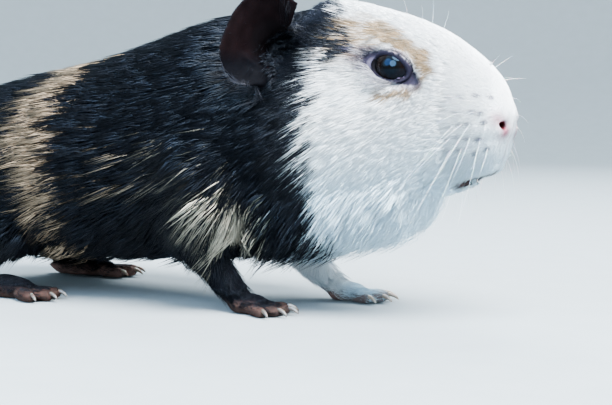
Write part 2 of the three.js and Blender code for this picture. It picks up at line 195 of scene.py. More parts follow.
def mottled(nodes, links, shader, scale, dark, light):
    """Gives the shader a mottled colour. scale counts the blotches along a metre."""
    mottle = nodes.new("ShaderNodeGroup")
    mottle.node_tree = MOTTLE
    mottle.inputs["Scale"].default_value = scale
    mottle.inputs["Dark"].default_value = (*dark, 1)
    mottle.inputs["Light"].default_value = (*light, 1)
    links.new(mottle.outputs["Color"], shader.inputs["Base Color"])


print("mottle group with", len(MOTTLE.nodes), "nodes")

# %% [markdown]
# Floor and backdrop are one sheet of pale paper. A plain plane would end in a hard horizon, so the sheet is a
# wide shallow bowl whose rim curves up, and only a soft change of light shows where it rises.

# %% Floor
FLAT_RADIUS, RIM_RADIUS, RIM_TURN = 1.3, 0.6, math.radians(72)  # metres, and how far the rim curves up
RIM_STEPS, AROUND = 14, 96
PAPER_GRAIN = 64.0  # blotches along a metre
PAPER_DARK, PAPER_LIGHT = (0.180, 0.207, 0.220), (0.203, 0.232, 0.246)


def studio_floor():
    made, nodes, links, shader = material("studio_paper", roughness=0.9)
    mottled(nodes, links, shader, PAPER_GRAIN, PAPER_DARK, PAPER_LIGHT)
    turn = np.linspace(0, 2 * np.pi, AROUND, endpoint=False)
    rim = np.linspace(0, RIM_TURN, RIM_STEPS)
    radii = np.concatenate([[FLAT_RADIUS / 2], FLAT_RADIUS + RIM_RADIUS * np.sin(rim)]) / MM
    heights = np.concatenate([[0.0], RIM_RADIUS * (1 - np.cos(rim))]) / MM
    rings = [np.stack([r * np.cos(turn), r * np.sin(turn), np.full(AROUND, h)], 1)
             for r, h in zip(radii, heights)]
    points = np.concatenate([[[0.0, 0.0, 0.0]], *rings])
    floor = mesh_object("studio_floor", points, ring_faces(len(rings), AROUND), made)
    print("floor", round(2 * float(radii.max()) * MM, 2), "m across")


studio_floor()

# %% [markdown]
# The lamps are large discs, because a small lamp would draw a hard shadow behind every hair. Two of them only
# show in reflections: they make the highlights on the wet eyes and add a little sheen to the hair.

# %% Lights
LAMP_AIM = Vector((0.03, 0, 0.06))
LAMPS = (  # name, azimuth and elevation in degrees, distance and size in metres, watts, colour
    ("key_light", 56, 60, 1.1, 0.85, 158.0, (0.98, 0.99, 1.0)),
    ("sky_light", 2, 66, 1.2, 1.3, 26.0, (0.62, 0.82, 1.0)),
    ("fill_light", -25, 30, 1.2, 0.9, 15.0, (0.72, 0.88, 1.0)),
    ("back_light", 205, 50, 1.1, 0.7, 44.0, (0.86, 0.94, 1.0)),
    ("bright_glint", 20, 26, 1.1, 0.64, 84.0, (0.66, 0.84, 1.0)),
    ("blue_glint", -12, 33, 1.1, 0.75, 38.0, (0.10, 0.42, 1.0)))
AIR_COLOUR, AIR_STRENGTH = (0.58, 0.82, 1.0, 1.0), 1.75


def soft_light(name, azimuth, elevation, distance, size, watts, colour):
    light = bpy.data.lights.new(name, "AREA")
    light.shape, light.size, light.energy, light.color = "DISK", size, watts, colour
    lamp = linked(name, light)
    way = direction_to(math.radians(azimuth), math.radians(elevation))
    lamp.location = LAMP_AIM + way * distance
    lamp.rotation_mode = "QUATERNION"
    lamp.rotation_quaternion = way.to_track_quat("Z", "Y")
    lamp.visible_camera = False
    lamp.visible_diffuse = not name.endswith("glint")


for lamp_values in LAMPS:
    soft_light(*lamp_values)
air = bpy.data.worlds.new("studio_air")
air.use_nodes = True
air.node_tree.nodes["Background"].inputs["Color"].default_value = AIR_COLOUR
air.node_tree.nodes["Background"].inputs["Strength"].default_value = AIR_STRENGTH
bpy.context.scene.world = air
print(len(LAMPS), "lamps")

# %% [markdown]
# ## The skin
# The real animal has one unbroken skin. The solids are parted by thin gaps, so their copies are grown by a
# hair's breadth until they touch, joined, and remeshed into one closed surface. A voxel remesh is chosen
# because it welds any overlap without caring about the faces below. The eyeballs are joined in as well, so
# that the skin runs over the eye sockets and lids can be sculpted there.

# %% Join the flesh
LIMBS = ("foreleg", "hindleg", "forefoot", "hindfoot")
FLESH = ["head", "jaw", "nose", "neck", "trunk"]
FLESH += [f"{part}_{side}" for part in (*LIMBS, "ear") for side in SIDES]
GROWTH = 0.28  # mm, enough to close the gap between two solids
VOXEL = 0.75  # mm, the size of a face after the remesh


def merged_copy(node, growth):
    """Points in mm and triangles of a copy of a solid, its doubles merged and its surface grown."""
    grown = bmesh.new()
    grown.from_mesh(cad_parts[node].data)
    bmesh.ops.remove_doubles(grown, verts=grown.verts, dist=1e-6)
    grown.normal_update()
    points = np.array([vert.co + vert.normal * (growth * MM) for vert in grown.verts]) / MM
    faces = np.array([[vert.index for vert in face.verts] for face in grown.faces])
    grown.free()
    return points, faces


def joined_flesh():
    """Points, faces and the number of the solid that each face belongs to. The eyeballs come last."""
    points, faces, owner = [], [], []
    for number, node in enumerate([*FLESH, "eye_left", "eye_right"]):
        some_points, some_faces = merged_copy(node, GROWTH)
        faces.append(some_faces + sum(map(len, points)))
        points.append(some_points)
        owner.append(np.full(len(some_faces), number))
    return np.concatenate(points), np.concatenate(faces), np.concatenate(owner)


flesh_points, flesh_faces, flesh_owner = joined_flesh()
flesh_tree = BVHTree.FromPolygons(flesh_points.tolist(), flesh_faces.tolist())
print("flesh:", len(flesh_points), "points,", len(flesh_faces), "faces")

# %% Relax helper
def arrays_of(mesh):
    """Points in mm and edges of a mesh."""
    points = np.empty(len(mesh.vertices) * 3, np.float32)
    mesh.vertices.foreach_get("co", points)
    edges = np.empty(len(mesh.edges) * 2, np.int32)
    mesh.edges.foreach_get("vertices", edges)
    return points.reshape(-1, 3).astype(float) / MM, edges.reshape(-1, 2)


def relax(values, edges, rounds, strength=0.5):
    """Moves each value towards the mean of its neighbours. strength may differ from point to point."""
    count = len(values)
    values = values.astype(float).copy()
    columns = values.reshape(count, -1)
    neighbours = np.maximum(np.bincount(edges.ravel(), minlength=count), 1)
    share = np.broadcast_to(strength, count)
    for _ in range(rounds):
        for column in range(columns.shape[1]):
            v = columns[:, column]
            total = np.bincount(edges[:, 0], v[edges[:, 1]], count)
            total += np.bincount(edges[:, 1], v[edges[:, 0]], count)
            columns[:, column] = v + share * (total / neighbours - v)
    return columns.reshape(values.shape)


# %% Which solid a point belongs to
def owners(points):
    """The solid nearest to each point, as an index into FLESH. What lies over an eyeball is the head's."""
    found = np.array([flesh_tree.find_nearest(point)[2] for point in points.tolist()])
    owner = flesh_owner[found]
    return np.where(owner >= len(FLESH), FLESH.index("head"), owner)


def part_mask(owner, *names):
    """1 where the owner's name starts with one of the names, 0 elsewhere."""
    return np.isin(owner, [i for i, node in enumerate(FLESH) if node.startswith(names)]).astype(float)


# %% Remesh and relax
RELAX_ROUNDS, FINE_ROUNDS = 70, 3  # of the large forms, and of ears, feet, nose and jaw
MUZZLE_FROM, MUZZLE_LONG = 95, 25  # mm, where the muzzle starts, and over what length the rounding eases


def evaluated(obj):
    """The mesh that an object's modifiers make. The object itself is removed."""
    mesh = bpy.data.meshes.new_from_object(obj.evaluated_get(bpy.context.evaluated_depsgraph_get()))
    bpy.data.objects.remove(obj)
    return mesh


bare_material = bpy.data.materials.new("work_in_progress")
work = mesh_object("flesh", flesh_points, flesh_faces, bare_material)
remesh = work.modifiers.new("one_surface", "REMESH")
remesh.mode, remesh.voxel_size = "VOXEL", VOXEL * MM
skin_mesh = evaluated(work)
points, edges = arrays_of(skin_mesh)
owner = owners(points)
fine = relax(part_mask(owner, "ear", "forefoot", "hindfoot", "nose", "jaw"), edges, 6)
muzzle = np.clip((points[:, 0] - MUZZLE_FROM) / MUZZLE_LONG, 0, 1)
softness = 0.5 * (1 - fine) * (1 - 0.6 * muzzle) + 0.02
points = relax(points, edges, RELAX_ROUNDS, softness)  # rounds off the facets
points = relax(points, edges, FINE_ROUNDS, 0.3 * fine)
skin_mesh.vertices.foreach_set("co", (points * MM).astype(np.float32).ravel())
skin_mesh.update()
print("remeshed:", len(points), "points, largest", points.max(0).round(1), "smallest", points.min(0).round(1))

# %% [markdown]
# The remesh is even all over, but only the face, ears and feet need its small faces. A decimation that
# spares those thins out the trunk, which the coat will hide. Then the faces round the eyes and the nose
# are split again, because lids and nostrils have folds finer than half a millimetre.

# %% Thin the trunk, refine the face
KEPT_SHARE = 0.24  # of the faces outside the spared parts
LID_REACH, MUZZLE_REACH = 12.5, 17.0  # mm round each eye and behind the tip of the nose
NOSTRIL_REACH = 4.2  # mm
FINE_EDGE, FINEST_EDGE = 0.42, 0.2  # mm


def distance_to(points, place):
    return np.linalg.norm(points - place, axis=1)


def eye_distance(points):
    """How far each point is from the nearer eyeball's centre."""
    return np.min([distance_to(points, EYE[side]) for side in SIDES], axis=0)


def near_nostril(points):
    """Below 1 within reach of a nostril."""
    folded = np.stack([points[:, 0], np.abs(points[:, 1]), points[:, 2]], 1)
    return distance_to(folded, NOSTRIL) / NOSTRIL_REACH


def near_face(points):
    """Below 1 within reach of an eye or of the tip of the nose."""
    nose = np.linalg.norm((points - NOSE_TIP) * (1, 1, 0.75), axis=1) / MUZZLE_REACH
    return np.minimum(eye_distance(points) / LID_REACH, nose)


def thinned(mesh, spared):
    obj = linked("thinning", mesh)
    group = obj.vertex_groups.new(name="spared")
    group.add(np.nonzero(spared)[0].tolist(), 1.0, "REPLACE")
    thin = obj.modifiers.new("thin", "DECIMATE")
    thin.ratio, thin.vertex_group, thin.invert_vertex_group = KEPT_SHARE, "spared", True
    return evaluated(obj)


def split_long_edges(mesh, inside, longest):
    """Halves every edge within the region that is longer than wanted, and leaves only triangles."""
    splitting = bmesh.new()
    splitting.from_mesh(mesh)
    bmesh.ops.triangulate(splitting, faces=splitting.faces)
    for _ in range(2):  # the first round halves an edge, the second quarters it
        splitting.verts.ensure_lookup_table()
        places = np.array([vert.co for vert in splitting.verts]) / MM
        chosen = inside(places) < 1
        long_edges = [edge for edge in splitting.edges
                      if chosen[edge.verts[0].index] and chosen[edge.verts[1].index]
                      and edge.calc_length() > longest * MM]
        bmesh.ops.subdivide_edges(splitting, edges=long_edges, cuts=1)
        bmesh.ops.triangulate(splitting, faces=splitting.faces)
        splitting.verts.index_update()
    splitting.to_mesh(mesh)
    splitting.free()
    return mesh


spared = (fine > 0.25) | (near_face(points) < 1.0)
skin_mesh = split_long_edges(thinned(skin_mesh, spared), near_face, FINE_EDGE)
skin_mesh = split_long_edges(skin_mesh, near_nostril, FINEST_EDGE)
points, edges = arrays_of(skin_mesh)
points = relax(points, edges, 6, 0.4 * (near_face(points) < 1.15))
triangles = np.empty(len(skin_mesh.polygons) * 3, np.int32)
skin_mesh.polygons.foreach_get("vertices", triangles)
triangles = triangles.reshape(-1, 3)
print("skin:", len(points), "points,", len(triangles), "triangles")

# %% [markdown]
# ## Where the skin lies
# Under the coat the animal is slimmer than it looks. The solids include the coat, so the skin is sunk below
# them by the coat's depth: deep on the trunk, hardly at all on nose, ears and feet. A plain offset would be
# the same everywhere, so the depth is a field over the points, which is then smoothed along the surface.

# %% Field helpers
def ramp(value, low, high):
    """0 below low, 1 above high and a smooth rise between. low may be the larger of the two."""
    t = np.clip((value - low) / (high - low), 0, 1)
    return t * t * (3 - 2 * t)


def bell(value, width):
    """1 where the value is 0, and nearly nothing at twice the width."""
    return np.exp(-(value / width) ** 2)


def ripple(points, size, seed):
    """A smooth random field between about -1 and 1 whose waves are about size mm long."""
    rng = np.random.default_rng(seed)
    ways = rng.normal(size=(7, 3))
    ways *= (2 * np.pi / size) / np.linalg.norm(ways, axis=1, keepdims=True) * rng.uniform(0.6, 1.5, (7, 1))
    return np.sin(points @ ways.T + rng.uniform(0, 2 * np.pi, 7)).sum(1) / 3.2


def normals_of(points, triangles):
    corners = points[triangles]
    flat = np.cross(corners[:, 1] - corners[:, 0], corners[:, 2] - corners[:, 0])
    total = np.stack([np.bincount(triangles.ravel(), np.repeat(flat[:, axis], 3), len(points))
                      for axis in range(3)], 1)
    return total / np.maximum(np.linalg.norm(total, axis=1, keepdims=True), 1e-9)


# %% Depth of the coat
TRUNK_DEPTH = 6.5  # mm
DEPTHS_AHEAD = ((44, 66, 3.9), (72, 98, 2.2), (98, 121, 0.9), (121, 127, 0.35))  # from x, to x, depth ahead
CHEEK_DEPTH = 1.3  # more, for the long hair over the cheeks
EYE_DEPTH, LEG_DEPTH, FOOT_DEPTH, EAR_DEPTH = 1.3, 1.5, 0.45, 0.12

owner = owners(points)
is_ear = part_mask(owner, "ear")
is_foot = part_mask(owner, "forefoot", "hindfoot")
is_leg = part_mask(owner, "foreleg", "hindleg") * ramp(points[:, 2], 34, 24)
x, y, z = points.T
depth, before = np.full(len(points), TRUNK_DEPTH), TRUNK_DEPTH
for start, end, ahead in DEPTHS_AHEAD:
    depth += (ahead - before) * ramp(x, start, end)
    before = ahead
depth += CHEEK_DEPTH * bell(x - 66, 16) * bell(z - 52, 20)
depth += (EYE_DEPTH - depth) * ramp(eye_distance(points) / EYE_RADIUS, 2.4, 1.4)
for mask, goal in ((is_leg, LEG_DEPTH), (is_foot, FOOT_DEPTH), (is_ear, EAR_DEPTH)):
    depth += (goal - depth) * mask
depth = np.maximum(relax(depth, edges, 25), 0.05)
is_ear, is_foot, is_leg = (relax(mask, edges, 6) for mask in (is_ear, is_foot, is_leg))
print("coat depth from", depth.min().round(2), "to", depth.max().round(2), "mm")

# %% Sink the skin
BRIDGE, UPPER_LIP, THROAT = 0.9, 1.0, 3.4  # mm by which the face is leaner than its solids there

facing = normals_of(points, triangles)
bridge = BRIDGE * ramp(x, 106, 116) * ramp(z, 68, 75)
upper_lip = UPPER_LIP * ramp(x, 112, 121) * ramp(z, 64, 60) * ramp(z, 49, 53)
throat = THROAT * bell(x - 104, 5.5) * ramp(facing[:, 2], -0.15, -0.75) * ramp(z, 60, 50)
leaner = relax(bridge + upper_lip + throat, edges, 12)
points = points - facing * (depth + leaner)[:, None]
points = relax(points, edges, 4, 0.3 * ramp(depth, 1.0, 3.0))
print("skin box", points.min(0).round(1), points.max(0).round(1))

# %% [markdown]
# ## Lids
# A lid is a fold of skin that hugs the eyeball. A separate ring of skin would leave a seam, so the lids are
# sculpted from the skin that already covers the eye. Each point near an eye is described by its distance from
# the gaze axis, counted in widths of the lid opening: inside 1 it hides in the eyeball, just past 1 it forms
# the rounded rim, and further out it falls into two creases and joins the face.

# %% Sculpt the lids
OPENING = (5.35, 3.02)  # mm, half the length and half the height of the lid opening
OPENING_SHIFT = (-1.0, -1.2)  # mm, from the gaze axis along the opening and up
EYE_TILT = 0.34  # radians, the front corner lies lower
LID_THICKNESS = 0.75  # mm
INSIDE_EYE = 0.6  # mm, how deep in the eyeball the skin hides within the opening


def eye_frame(side):
    """Gaze axis and the lid opening's long and short axes, as unit vectors."""
    gaze = np.array([0.26, SIDES[side] * 0.95, 0.15])
    gaze /= np.linalg.norm(gaze)
    along = np.array([1.0, 0, 0]) - gaze[0] * gaze
    along /= np.linalg.norm(along)
    up = np.cross(gaze, along) * -SIDES[side]
    turn_cos, turn_sin = math.cos(EYE_TILT), math.sin(EYE_TILT)
    return gaze, along * turn_cos - up * turn_sin, along * turn_sin + up * turn_cos


def lid_places(points, side):
    """(openings from the gaze axis, angle round it with 0 at the front corner, distance from the centre)"""
    gaze, along, up = eye_frame(side)
    offset = points - EYE[side]
    across, rise = offset @ along - OPENING_SHIFT[0], offset @ up - OPENING_SHIFT[1]
    angle = np.arctan2(rise, across)
    rim = 1 / np.hypot(np.cos(angle) / OPENING[0], np.sin(angle) / OPENING[1])
    rim *= 1 + 0.10 * bell(angle, 0.35) + 0.06 * bell(np.abs(angle) - np.pi, 0.35)
    behind = offset @ gaze < -1.0
    return np.where(behind, 9.0, np.hypot(across, rise) / rim), angle, np.linalg.norm(offset, axis=1)


def sculpt_lids(points, side):
    place, angle, distance = lid_places(points, side)
    hidden = EYE_RADIUS - INSIDE_EYE
    lid = hidden + (INSIDE_EYE + LID_THICKNESS) * ramp(place, 0.93, 1.07)
    lid += 0.3 * bell(place - 1.22, 0.12)
    shaped = lid + (distance - lid) * ramp(place, 1.25, 2.1)
    upper = 0.5 + 0.5 * np.sin(angle)
    folded = 0.8 + 0.35 * np.sin(3 * angle + 1.0) * np.sin(angle * 5 + 2)
    shaped -= (0.14 + 0.22 * upper) * folded * bell(place - 1.55, 0.08)  # the deeper crease
    shaped -= 0.12 * folded * bell(place - 1.86, 0.07)  # the outer crease
    corner = np.exp(-(((place - 0.97) * 8.0) ** 2 + ((angle + 0.35) * 6.0) ** 2) / 0.8)
    shaped = np.where(place < 1.0, np.maximum(shaped, hidden + 1.25 * corner), shaped)
    beyond = place > 2.4
    stretched = EYE[side] + (points - EYE[side]) * (shaped / np.maximum(distance, 1e-6))[:, None]
    return np.where(beyond[:, None], points, stretched)


for side in SIDES:
    points = sculpt_lids(points, side)
print("lids sculpted")

# %% [markdown]
# ## Nose and mouth
# The nostrils are comma-shaped holes at the sides of a small bare pad. A groove runs from the pad down to the
# split upper lip, and the mouth is a short line that sinks to its corners. Cutting such holes with other
# solids would leave hard edges, so the skin's points are pushed in or pulled out along one direction each,
# with a smooth falloff.

# %% Nose and mouth lines
NOSTRIL_WAY = np.array([0.72, 0.69, -0.06])  # out of the left nostril
NOSTRIL_SLANT = np.array([-0.72, 0.66, 0.42])  # the long way of its oval
NOSTRIL_TAIL = np.array([-2.4, 2.6, 2.3])  # mm from the nostril to the end of the comma
WING, BROW = np.array([-1.0, 1.4, -1.1]), np.array([0.3, -0.6, 2.3])  # mm from it to the swellings round it
PHILTRUM = (49.8, 63.0)  # heights between which the groove runs
WHISKER_PAD = np.array([118.5, 8.5, 58.0])
MOUTH_ACROSS = (0, 3.5, 7.5, 9)  # mm from the middle
MOUTH_HEIGHTS = (49.6, 48.2, 46.2, 45.0)  # of the line between the lips at those places
MOUTH_HALF = 5.4  # mm, half the width of the slit


def mirrored(vector, side):
    """The same place or direction on the other side, for the right one."""
    return vector * (1, SIDES[side], 1)


def distance_to_line(points, start, end):
    way = end - start
    share = np.clip(((points - start) @ way) / (way @ way), 0, 1)
    return np.linalg.norm(points - (start + share[:, None] * way), axis=1)


def philtrum(points):
    """1 along the groove between the nostrils and the split lip, 0 beside it."""
    x, y, z = points.T
    groove = bell(y, 0.72) * ramp(x, 108, 116) * ramp(z, PHILTRUM[0] - 2, PHILTRUM[0])
    return groove * (1 - ramp(z, PHILTRUM[1], PHILTRUM[1] + 6))


def mouth_line(points):
    """Distance in mm from the line between the lips, which sinks from the middle to the corners."""
    x, y, z = points.T
    line = np.interp(np.abs(y), MOUTH_ACROSS, MOUTH_HEIGHTS) + 0.10 * (x - 117)
    return np.hypot(z - line, np.maximum(np.abs(y) - MOUTH_HALF, 0)) + 6 * ramp(x, 112, 108)


# %% Sculpt nose and mouth
def sculpt_nostril(points, side):
    centre, way = mirrored(NOSTRIL, side), mirrored(NOSTRIL_WAY, side)
    offset = points - centre
    slant = mirrored(NOSTRIL_SLANT, side)
    slant = slant - (slant @ way) * way
    slant /= np.linalg.norm(slant)
    across = np.linalg.norm(offset - np.outer(offset @ way, way) - np.outer(offset @ slant, slant), axis=1)
    oval = np.hypot(across / 0.95, (offset @ slant) / 1.4)
    near = np.exp(-(np.linalg.norm(offset, axis=1) / 4.5) ** 4)
    hole = 2.1 * np.exp(-oval ** 4) * near
    slit = 0.7 * bell(distance_to_line(points, centre, centre + mirrored(NOSTRIL_TAIL, side)), 0.6)
    swell = 0.45 * bell(distance_to(points, centre + mirrored(WING, side)), 1.5)
    swell += 0.4 * bell(distance_to(points, centre + mirrored(BROW, side)), 1.6)
    return points + np.outer(swell - hole - slit, way)


def puff_whisker_pad(points, side):
    puff = 0.55 * bell(distance_to(points, mirrored(WHISKER_PAD, side)), 6.0)
    return points + np.outer(puff, mirrored(np.array([0.75, 0.6, -0.2]), side))


def sculpt_mouth(points):
    """The groove under the nose, the slit of the mouth and the two lobes of the upper lip."""
    groove = philtrum(points) * (0.5 + 0.6 * ramp(points[:, 2], 64, 60) + 1.1 * ramp(points[:, 2], 57, 50))
    points = points - np.outer(groove, (0.93, 0, -0.37))
    gape = 1.3 * bell(mouth_line(points), 0.65)
    lobes = 0.7 * bell(mouth_line(points) - 2.2, 1.3) * ramp(points[:, 2], 48, 50)
    lobes *= bell(np.abs(points[:, 1]) - 3.2, 2.0)
    return points - np.outer(gape - lobes, (0.9, 0, 0.1))


for side in SIDES:
    points = puff_whisker_pad(sculpt_nostril(points, side), side)
points = sculpt_mouth(points)
normals = normals_of(points, triangles)
print("nostrils at", NOSTRIL.round(1), "and its mirror image")

# %% [markdown]
# ## Ears
# An ear is a thin leaf round its canal. The remeshed leaf is flat and even, and modelling its folds by hand
# would have to be done twice. Instead a place on it is told by the distance from the canal and the angle in
# the side view: the rim curls forward a little, and a low ridge edges the hollow above the lobe.

# %% Sculpt the ears
EAR_CANAL = {side: mirrored(np.array([54.4, 24.5, 93.0]), side) for side in SIDES}
EAR_FACING = np.array([0.88, 0.42, 0.10])  # the way that the left ear's hollow faces
RIDGE_ANGLE, RIDGE_REACH = (3.4, 4.75), 9.2  # radians, and mm from the canal


def ear_places(points, side):
    """(distance from the canal, angle in the side view from 0 to 2 pi)"""
    offset = points - EAR_CANAL[side]
    return np.hypot(offset[:, 0], offset[:, 2]), np.arctan2(offset[:, 2], offset[:, 0]) % (2 * np.pi)


def sculpt_ears(points):
    for side in SIDES:
        facing = mirrored(EAR_FACING, side)
        reach, angle = ear_places(points, side)
        leaf = is_ear * (points[:, 1] * SIDES[side] > 0) * ramp(reach, 4, 8)
        front = ramp(normals @ facing, 0.0, 0.4)
        curl = 0.9 * ramp(reach, 12, 19) + 0.5 * ramp(reach, 12.5, 15) * ramp(np.abs(angle - 3.1), 0.6, 0.2)
        ridge = 0.75 * bell(reach - RIDGE_REACH, 0.9)
        ridge *= ramp(angle, RIDGE_ANGLE[0], RIDGE_ANGLE[0] + 0.4)
        ridge *= ramp(angle, RIDGE_ANGLE[1], RIDGE_ANGLE[1] - 0.4)
        hollow = 0.4 * bell(reach - 6.5, 2.2)
        uneven = 0.16 * ripple(points, 9, 31) + 0.05 * ripple(points, 4, 32)
        points = points + np.outer(leaf * (curl + uneven + front * (ridge - hollow)), facing)
    return points


points = sculpt_ears(points)
normals = normals_of(points, triangles)
print("ears sculpted")

# %% [markdown]
# ## Markings
# The animal is white in the face, black over neck and back, and tan in a band over the loin, on the shoulder
# and round the eyes. Painting skin and hair apart would let their borders drift, so one function gives the
# share of each colour at any point, and both use it. Ripples and streaks fray the borders, as real ones are.

# %% Colours and the white face
WHITE, BLACK, TAN = (0.87, 0.90, 0.93), (0.0036, 0.0040, 0.0060), (0.240, 0.175, 0.115)
FACE_TAN, CREAM = (0.270, 0.180, 0.096), (0.37, 0.34, 0.265)
COLOURS = np.array([WHITE, BLACK, TAN, FACE_TAN])  # the columns of every share below
FACE_EDGE_HEIGHTS = (18, 36, 52, 66, 72, 79, 85, 88, 92, 97, 101, 110)
FACE_EDGE = (74, 74, 74.5, 73, 74.5, 75, 77, 79, 81.5, 80.5, 75, 63)  # x where the white starts there
STREAK_ALONG, STREAK_ACROSS = (0.86, 0, 0.50), (-0.50, 0, 0.86)  # the lie of hair on the cheek, and across it


def spot(points, centre, radii, softness=0.3, fray=0.12):
    """1 inside an ellipsoid of those half-sizes, 0 outside, with a soft frayed edge."""
    reach = np.linalg.norm((points - np.array(centre)) / np.array(radii), axis=1)
    reach = reach + fray * ripple(points, 11, 5)
    return ramp(reach, 1 + softness, 1 - softness)


def white_share(points):
    x, y, z = points.T
    edge = np.interp(z, FACE_EDGE_HEIGHTS, FACE_EDGE)
    edge = np.where(y > 0, edge - 3 + 5 * ramp(z, 60, 30), edge)
    combed = np.stack([0.18 * (points @ STREAK_ALONG), y, points @ STREAK_ACROSS], 1)
    streaks = (3.4 + 1.6 * ramp(z, 60, 72) * ramp(z, 92, 84)) * ripple(combed, 3.2, 2)
    before = x - edge + 1.6 * ripple(points, 9, 1) + streaks
    foreleg = spot(points, (52, 24, 12), (34, 15, 24), 0.2)
    chest = spot(points, (58, 8, 24), (22, 20, 9), 0.4) * ramp(y, -14, 4)
    brisket = 0.18 * spot(points, (63, -26, 31), (14, 14, 9), 0.5)
    return np.maximum.reduce([ramp(before, -2.4, 2.4), foreleg, 0.8 * chest, brisket])


# %% Tan of the body
LOIN_HEIGHTS = (20, 30, 45, 60, 72, 82, 90)
LOIN_BAND = (-38, -28, -23, -30, -30, -25, -17)  # x of the band's middle at those heights
LOIN_HALF = (10.0, 5.0)  # mm from its middle to where it ends, and to where it is full


def tan_share(points):
    x, y, z = points.T
    loin = np.interp(z, LOIN_HEIGHTS, LOIN_BAND) + 2.0 * ripple(points, 24, 3)
    band = ramp(np.abs(x - loin) + 2.5 * ripple(points, 7, 4), *LOIN_HALF) * ramp(z, 9, 15)
    band *= np.where(y < 0, 1 - 0.55 * ramp(z, 44, 34) * ramp(z, 16, 30), ramp(z, 30, 55))
    shoulder = spot(points, (43.5, -36, 40), (11.5, 20, 10), 0.55)
    grizzle = spot(points, (17, -40, 56), (24, 24, 14), 0.5)  # single tan hairs among black ones
    rump_left = spot(points, (-88, 40, 52), (26, 30, 22), 0.4, 0.25)
    neck_left = 0.8 * spot(points, (20, 40, 70), (14, 26, 18), 0.45, 0.3)
    return np.maximum.reduce([0.93 * band, 0.80 * shoulder, 0.13 * grizzle, rump_left, neck_left]) * 0.97


def tan_colour(points):
    """Tan on the loin, paler on the shoulder."""
    return TAN + (np.array(CREAM) - TAN) * ramp(points[:, 0], 0, 25)[:, None]


# %% Tan of the face
TAN_ARCH = ((70, 98.5), (81, 97.7), (89, 95.5), (95, 91.5), (100.5, 88), (103.5, 83.2), (102, 78.5),
            (97, 75), (89.5, 75))  # x and z of its turning points
ARCH_SHARES = (0.7, 0.9, 1.0, 1.0, 0.95, 0.8, 0.65, 0.65)  # how strong each stretch of the arch is


def face_tan_share(points):
    """The tan arch that runs from before the ear over the eye, round its front and back below it."""
    flat = points[:, ::2] + 1.1 * np.stack([ripple(points, 7, 14), ripple(points, 7, 15)], 1)
    arch = np.zeros(len(points))
    for number, (start, end) in enumerate(zip(TAN_ARCH[:-1], TAN_ARCH[1:])):
        near = distance_to_line(flat, np.array(start), np.array(end))
        arch = np.maximum(arch, ARCH_SHARES[number] * bell(near, 2.9 - 0.12 * number))
    temple = 0.55 * np.exp(-(np.hypot((flat[:, 0] - 78) / 11, (flat[:, 1] - 93) / 9)) ** 4)
    share = np.maximum(arch, temple) * ramp(np.abs(points[:, 1]), 5.5, 8.5)
    return np.clip(share * (0.92 + 0.3 * ripple(points, 4, 6)), 0, 1)


def marking_shares(points, shown=None):
    """Shares of white, black, tan and face tan, one row a point.

    shown is where a hair is seen, if not at its root. The fine tan pattern of the face is laid out there."""
    white, tan = white_share(points), tan_share(points)
    face_tan = face_tan_share(points if shown is None else shown)
    face_tan = face_tan * white
    white = white - face_tan
    tan = np.clip(tan, 0, 1) * (1 - white - face_tan)
    return np.stack([white, np.clip(1 - white - face_tan - tan, 0, 1), tan, face_tan], 1)


print("mean shares of white, black, tan and face tan:", marking_shares(points).mean(0).round(2))

# %% [markdown]
# Some places are tinted whatever the marking: pink round the nostrils, dark red in their holes, brown in the
# corners of the mouth, dark lids, and grey dots where the whiskers grow. The holes' dark red, the dark line
# along the slit between the lips and the grey dots are partly painted shade, and the white fur low on the
# face gets a painted shade too. Each tint is painted over the one before by a share of its own. The whisker
# roots stand in rows on the muzzle. They are found once, because dots and whiskers both need them.

# %% Paint and whisker roots
WHISKER_ROWS, WHISKER_COLUMNS = 5, 4
FIRST_WHISKER = (122.6, 73.6)  # x and z of the foremost root of the top row
COLUMN_STEP, ROW_STEP = 3.1, 4.0  # mm


def paint(colours, colour, share):
    return colours + (np.array(colour) - colours) * np.clip(share, 0, 1)[:, None]


def whisker_roots(side):
    """Places on the skin where whiskers grow, with their row and column."""
    tree = BVHTree.FromPolygons(points.tolist(), triangles.tolist())
    rng = np.random.default_rng(50)
    roots = []
    for row in range(WHISKER_ROWS):
        for column in range(WHISKER_COLUMNS):
            off_x, off_z = rng.uniform(-0.9, 0.9, 2)
            x = FIRST_WHISKER[0] - COLUMN_STEP * column - 0.9 * (row % 2) + off_x
            z = FIRST_WHISKER[1] - ROW_STEP * row + 0.2 * column + off_z
            place = tree.ray_cast(Vector((x, SIDES[side] * 16, z)), Vector((0.12, -SIDES[side], 0)))[0]
            roots.append((np.array(place), row, column))
    return roots


WHISKERS = {side: whisker_roots(side) for side in SIDES}
print(len(WHISKERS["left"]), "whisker roots a side")

# %% Tinted places
# The nostrils' dark red and the mouth's dark line are partly painted shade, in the holes and in the slit.
PINK, NOSTRIL_RED_AND_SHADE, LIP_BROWN_AND_SHADE = (0.27, 0.055, 0.095), (0.040, 0.0035, 0.005), (0.028, 0.018, 0.017)
LID_RIM, LID_DARK, LID_LILAC = (0.002, 0.0018, 0.0025), (0.010, 0.009, 0.016), (0.085, 0.076, 0.122)
# grey whisker dots: dark roots together with a painted shade round them
FOLLICLE_DOT_AND_SHADE = (0.05, 0.05, 0.085)
PINK_REACH = ((-2.2, 3.2, 3.0), (0.9, -1.2, -2.0))  # mm from the nostril: how far the pink goes up and down
LIP_SPOT, LIP_RADII = np.array([115.8, 4.6, 46.9]), (3.6, 2.9, 2.1)  # the dark corner of the mouth
# A painted shade: the white fur low on the face is darkened and cooled as if it lay in shade.
LOW_SHADE_LOSS = (0.34, 0.15, 0.05)  # how much red, green and blue the shaded white fur loses


